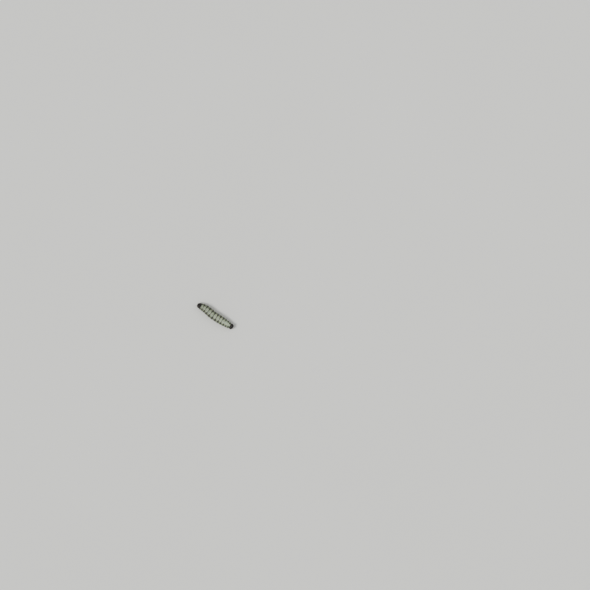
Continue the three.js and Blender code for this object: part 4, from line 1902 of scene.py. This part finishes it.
@dataclass
class Mouth:
    """The feelers and mouthparts under the face, told in the head's own frame."""

    form: HeadForm
    shop: Workshop
    bristles: Bristles
    feeler_aim: tuple[float, float, float] = (0.3, -0.75, -0.55)
    feeler_sunk: float = 0.92
    # The feeler's lengths are told in millimetres, and the others' in shares of the way to their tip.
    feeler: tuple[Length, ...] = (
        Length(0.0, 0.058, 0.031, 0.026, pale=0.85, swell=0.05, steps=10, sides=22),
        Length(0.052, 0.11, 0.022, 0.021, pale=0.12, swell=0.08, steps=12, sides=20),
        Length(0.105, 0.134, 0.0125, 0.011, pale=0.3, swell=0.05, steps=8, sides=16),
    )
    palp: tuple[Length, ...] = (
        Length(0.0, 0.55, 0.04, 0.036, pale=0.8, swell=0.08, steps=12, sides=22),
        Length(0.5, 0.72, 0.025, 0.021, pale=0.15, swell=0.06, steps=8, sides=18),
        Length(0.7, 0.87, 0.017, 0.015, pale=0.15, swell=0.06, steps=8, sides=16),
        Length(0.85, 1.0, 0.011, 0.007, pale=0.15, swell=0.05, steps=8, sides=14),
    )
    palp_ends: tuple[tuple[float, float, float], ...] = ((0.1, 0.062, -0.2), (0.107, 0.032, -0.33))
    inner_lobe: Length = Length(0.0, 1.0, 0.014, 0.009, pale=0.15, swell=0.1, steps=8, sides=14)
    lip_stem: Length = Length(0.0, 1.0, 0.046, 0.034, pale=0.75, swell=0.1, steps=14, sides=26)
    lip_palp: Length = Length(0.0, 1.0, 0.008, 0.006, pale=0.15, swell=0.0, steps=6, sides=12)
    # The left jaw's root and tip, its size at both, and the five teeth along its edge.
    jaw: tuple[tuple[float, float, float], ...] = ((0.066, -0.045, -0.21), (0.046, -0.055, -0.34))
    jaw_thickness: tuple[float, float] = (0.052, 0.012)
    jaw_width: tuple[float, float] = (0.06, 0.05)
    jaw_lean: float = 0.016
    tooth_depth: float = 0.014
    tooth_turns: float = 7.2
    # The upper lip: half its width, depth and height, and how far its middle lies ahead and below.
    lip: tuple[float, float, float] = (0.08, 0.02, 0.054)
    lip_middle: tuple[float, float] = (-0.13, -0.262)
    lip_notch: Fold = Fold(0.0, 0.018, 0.034)
    lip_bow: float = 0.02

    def build(self, horn: Material) -> None:
        """Makes every mouthpart.

        Args:
            horn: The brown horn's finish, which is pale at the joints.
        """
        self.build_lip(horn)
        self.build_labium(horn)
        for side in Side:
            self.build_feeler(side, horn)
            self.build_jaw(side, horn)
            self.build_maxilla(side, horn)

    def finish(self, clay: Clay, name: str, horn: Material) -> None:
        """Turns a mouthpart's mesh to its finished piece."""
        self.shop.finish(clay.bm, f"{name}_horn", horn, "mouthparts", [name])

    def build_feeler(self, side: Side, horn: Material) -> None:
        """Makes a short feeler of three joints, with pegs and one long bristle at its tip.

        Args:
            side: Which side it is on.
            horn: Its finish.
        """
        seat = self.form.point(self.form.feeler_way(side), self.feeler_sunk)
        way = Vector((side.value * self.feeler_aim[0], *self.feeler_aim[1:])).normalized()
        frame = self.form.frame
        clay = Clay()
        clay.limb(seat, way, self.feeler, frame)
        tip = seat + way * 0.132
        across = way.orthogonal().normalized()
        for turn in (0.4, 2.5, 4.6):
            out = Matrix.Rotation(turn, 3, way) @ across
            peg = bent_path(tip + out * 0.005, way, 0.014, out * 0.2, 5)
            clay.tube(spike(peg, 0.003, 0.0005), 8, frame)
        self.finish(clay, f"antenna_{side.word}", horn)
        root = frame @ (seat + way * 0.106 + across * 0.014)
        out = (frame.to_3x3() @ way).normalized()
        self.bristles.grow(root, out, 0.12, (0.03, 0.5 + side.value * 0.35))

    def build_jaw(self, side: Side, horn: Material) -> None:
        """Makes a stout jaw that thins to an edge of five teeth, its edge turned to its fellow.

        Args:
            side: Which side it is on.
            horn: Its finish.
        """
        root, tip = (Vector((side.value * x, y, z)) for x, y, z in self.jaw)
        clay = Clay()

        def shape(point: Vector) -> Vector:
            """Draws the ball out to a jaw.

            Args:
                point: The point of the ball.

            Returns:
                Its place on the jaw.
            """
            share = 0.5 - 0.5 * point.z
            bite = smoothstep(share, 0.72, 1)
            tooth = abs(math.cos(point.y * self.tooth_turns)) * bite * self.tooth_depth
            thick = mix(*self.jaw_thickness, smoothstep(share, 0.15, 1) ** 0.8)
            wide = mix(*self.jaw_width, share)
            middle = root.lerp(tip, share)
            square = squareness(point.x, point.y)
            lean = -side.value * self.jaw_lean * bite
            return middle + Vector((point.x / square * thick + lean, point.y / square * wide, -tooth))

        clay.take(ball(40, 30, shape), self.form.frame)
        self.finish(clay, f"mandible_{side.word}", horn)

    def build_maxilla(self, side: Side, horn: Material) -> None:
        """Makes the fleshy stem of the lower jaw with its jointed palp and inner lobe.

        Args:
            side: Which side it is on.
            horn: Its finish.
        """
        root, tip = (Vector((side.value * x, y, z)) for x, y, z in self.palp_ends)
        clay = Clay()
        clay.limb(root, tip - root, self.palp, self.form.frame)
        inner = root.lerp(tip, 0.5) + Vector((-side.value * 0.02, -0.012, 0))
        way = Vector((-side.value * 0.008, -0.008, -0.036))
        clay.limb(inner, way, [self.inner_lobe], self.form.frame)
        self.finish(clay, f"maxilla_{side.word}", horn)

    def build_labium(self, horn: Material) -> None:
        """Makes the lower lip with its two short palps and the spinneret between them.

        Args:
            horn: Its finish.
        """
        frame = self.form.frame
        clay = Clay()
        root, tip = Vector((0, 0.062, -0.205)), Vector((0, 0.05, -0.31))
        clay.limb(root, tip - root, [self.lip_stem], frame)
        for side in Side:
            seat = tip + Vector((side.value * 0.021, -0.004, 0.006))
            clay.limb(seat, Vector((side.value * 0.004, -0.004, -0.022)), [self.lip_palp], frame)
            root = seat + Vector((side.value * 0.004, -0.004, -0.02))
            pin = bent_path(root, Vector((side.value * 0.2, -0.2, -1)), 0.02, Vector(), 5)
            clay.tube(spike(pin, 0.0024, 0.0004), 8, frame)
        clay.pale = 0.4
        start, end = Vector((0, 0.048, -0.3)), Vector((0, 0.04, -0.363))
        stops = [Stop(start.lerp(end, i / 9), mix(0.0135, 0.006, (i / 9) ** 0.7)) for i in range(10)]
        clay.tube(stops, 16, frame)
        self.finish(clay, "labium", horn)

    def build_lip(self, horn: Material) -> None:
        """Makes the upper lip, a rounded plate notched in the middle of its lower edge.

        Args:
            horn: Its finish.
        """
        clay = Clay()
        wide, deep, high = self.lip
        ahead, low = self.lip_middle

        def shape(point: Vector) -> Vector:
            """Presses the ball to a notched plate.

            Args:
                point: The point of the ball.

            Returns:
                Its place on the plate.
            """
            flat = squareness(point.x, point.z)
            x, z = point.x / flat**0.75, point.z / flat**0.75
            notch = self.lip_notch.depth * bell(x * wide, self.lip_notch.width) * smoothstep(-z, 0.0, 1.0)
            bow = self.lip_bow * x * x
            return Vector((x * wide, ahead + point.y * deep + bow, low + z * high + notch))

        clay.take(ball(56, 28, shape), self.form.frame)
        self.finish(clay, "labrum", horn)
        for side in Side:
            for x, length in ((0.025, 0.05), (0.06, 0.06)):
                root = self.form.frame @ Vector((side.value * x, -0.149, -0.268))
                aim = self.form.frame.to_3x3() @ Vector((side.value * 0.2, -0.8, -0.55)).normalized()
                self.bristles.grow(root, aim, length, (0.02, 0.5 + side.value * (0.4 + x)))


@dataclass
class Studio:
    """The plain floor, soft light and the camera at the photograph's angle and framing."""

    # The width that the picture shows, how far off the camera is, and how many degrees above level.
    field_width: float = 64.3 * MM
    distance: float = 260 * MM
    elevation: float = 86.0
    sensor: float = 36.0
    # The photograph's side in pixels, the larva's middle in it, and how many degrees it lies turned.
    picture: int = 590
    pixel: tuple[float, float] = (215.2, 316.1)
    tilt_in_picture: float = 33.2
    floor_radius: float = 1500 * MM
    air: str = "#dfe3e6"
    air_strength: float = 0.7

    def build(self, material: Material) -> None:
        """Makes floor, lights and camera.

        Args:
            material: The floor's finish.
        """
        bm = bmesh.new()
        bmesh.ops.create_circle(bm, cap_ends=True, segments=64, radius=self.floor_radius)
        mesh = to_mesh("floor", bm)
        mesh.materials.append(material)
        add_object("floor", mesh)

        world = bpy.data.worlds.new("studio_air")
        world.use_nodes = True
        back = world.node_tree.nodes["Background"]
        back.inputs[0].default_value = linear(self.air)
        back.inputs[1].default_value = self.air_strength
        bpy.context.scene.world = world

        self.lamp("key", azimuth=-112, elevation=58, strength=2.9, angle=20)
        self.lamp("fill", azimuth=75, elevation=55, strength=0.7, angle=60)
        self.camera()

    def picture_axes(self) -> tuple[Vector, Vector]:
        """The picture's right and up on the floor, from how the larva lies in the photograph.

        Returns:
            The way to the picture's right, and the way to its top.
        """
        turn = math.radians(self.tilt_in_picture)
        right = Vector((math.sin(turn), -math.cos(turn), 0))
        up = Vector((math.cos(turn), math.sin(turn), 0))
        return right, up

    def lamp(self, name: str, azimuth: float, elevation: float, strength: float, angle: float) -> None:
        """Adds a soft sun lamp.

        Args:
            name: Its name.
            azimuth: Where it stands round the picture, in degrees from its top to its right.
            elevation: How high it stands, in degrees.
            strength: Its strength.
            angle: How wide it looks from below, in degrees, which softens the shadows.
        """
        right, up = self.picture_axes()
        turn, rise = math.radians(azimuth), math.radians(elevation)
        towards = (up * math.cos(turn) + right * math.sin(turn)) * math.cos(rise)
        towards.z = math.sin(rise)
        light = bpy.data.lights.new(name, "SUN")
        light.energy = strength
        light.angle = math.radians(angle)
        add_object(name, light).rotation_euler = towards.to_track_quat("Z", "Y").to_euler()

    def camera(self) -> None:
        """Adds the camera, square to the photograph's frame, with the larva where the photo has it."""
        right, up = self.picture_axes()
        rise = math.radians(self.elevation)
        back = Vector((0, 0, 1)) * math.sin(rise) - up * math.cos(rise)
        lens_up = back.cross(right).normalized()
        data = bpy.data.cameras.new("camera")
        data.sensor_width = self.sensor
        data.lens = self.sensor * self.distance / self.field_width
        data.clip_start = 1 * MM
        data.clip_end = 10
        low, high = cad_box
        middle = (low + high) / 2
        scale = self.field_width / self.picture
        across = (self.picture / 2 - self.pixel[0]) * scale
        above = (self.pixel[1] - self.picture / 2) * scale
        target = middle + right * across + lens_up * above
        camera = add_object("camera", data)
        turn = Matrix((right, lens_up, back)).transposed()
        camera.matrix_world = Matrix.Translation(target + back * self.distance) @ turn.to_4x4()
        bpy.context.scene.camera = camera


def frame_shift(form: BodyForm) -> Vector:
    """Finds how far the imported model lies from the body's own frame, from one pair of prolegs.

    Args:
        form: The body's form.

    Returns:
        The shift in millimetres.
    """
    corners = [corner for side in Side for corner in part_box(f"proleg_4_{side.word}")]
    middle = sum(corners, Vector()) / len(corners) / MM
    own = form.frame_at(form.station(form.ring_number("abdomen_4") + 0.5)).translation
    return Vector((middle.x - own.x, middle.y - own.y, 0))


def main() -> None:
    """Builds and dresses every piece in order."""
    logging.basicConfig(level=logging.INFO, format="%(name)s: %(message)s")
    form = BodyForm()
    shop = Workshop(frame_shift(form))
    Studio().build(Matte().material())

    black = HardCuticle("black_cuticle", roughness=0.33, ior=1.36, coat=0).material()
    horn = HardCuticle("brown_horn", "#241a12", "#4a3320", roughness=0.3, coat=0.15).material()
    limb = HardCuticle("limb_cuticle", "#14120f", "#33291d", roughness=0.26).material()
    lens = HardCuticle("lens_cuticle", "#0a0807", "#1a110b", roughness=0.13, relief=0, coat=0.4)
    clear = lens.material()
    hair = HardCuticle("bristle_cuticle", "#17130f", "#31261b", roughness=0.36, relief=0).material()

    skin = Skin(form, shop)
    skin.build(SoftCuticle().material(), limb, black)
    bristles = Bristles(skin, shop)
    bristles.build(hair, limb)
    Spiracles(skin, shop).build(limb)
    FilamentBuds(form, shop).build(limb)
    ThoracicLegs(form, shop, bristles).build(limb)
    Crochets(form, shop).build(limb)
    face = HeadForm(form)
    Head(face, shop, bristles).build(black, clear)
    Mouth(face, shop, bristles).build(horn)
    shop.finish(bristles.coat.bm, "bristles", hair, "leg_shell")


if __name__ == "__main__":
    main()
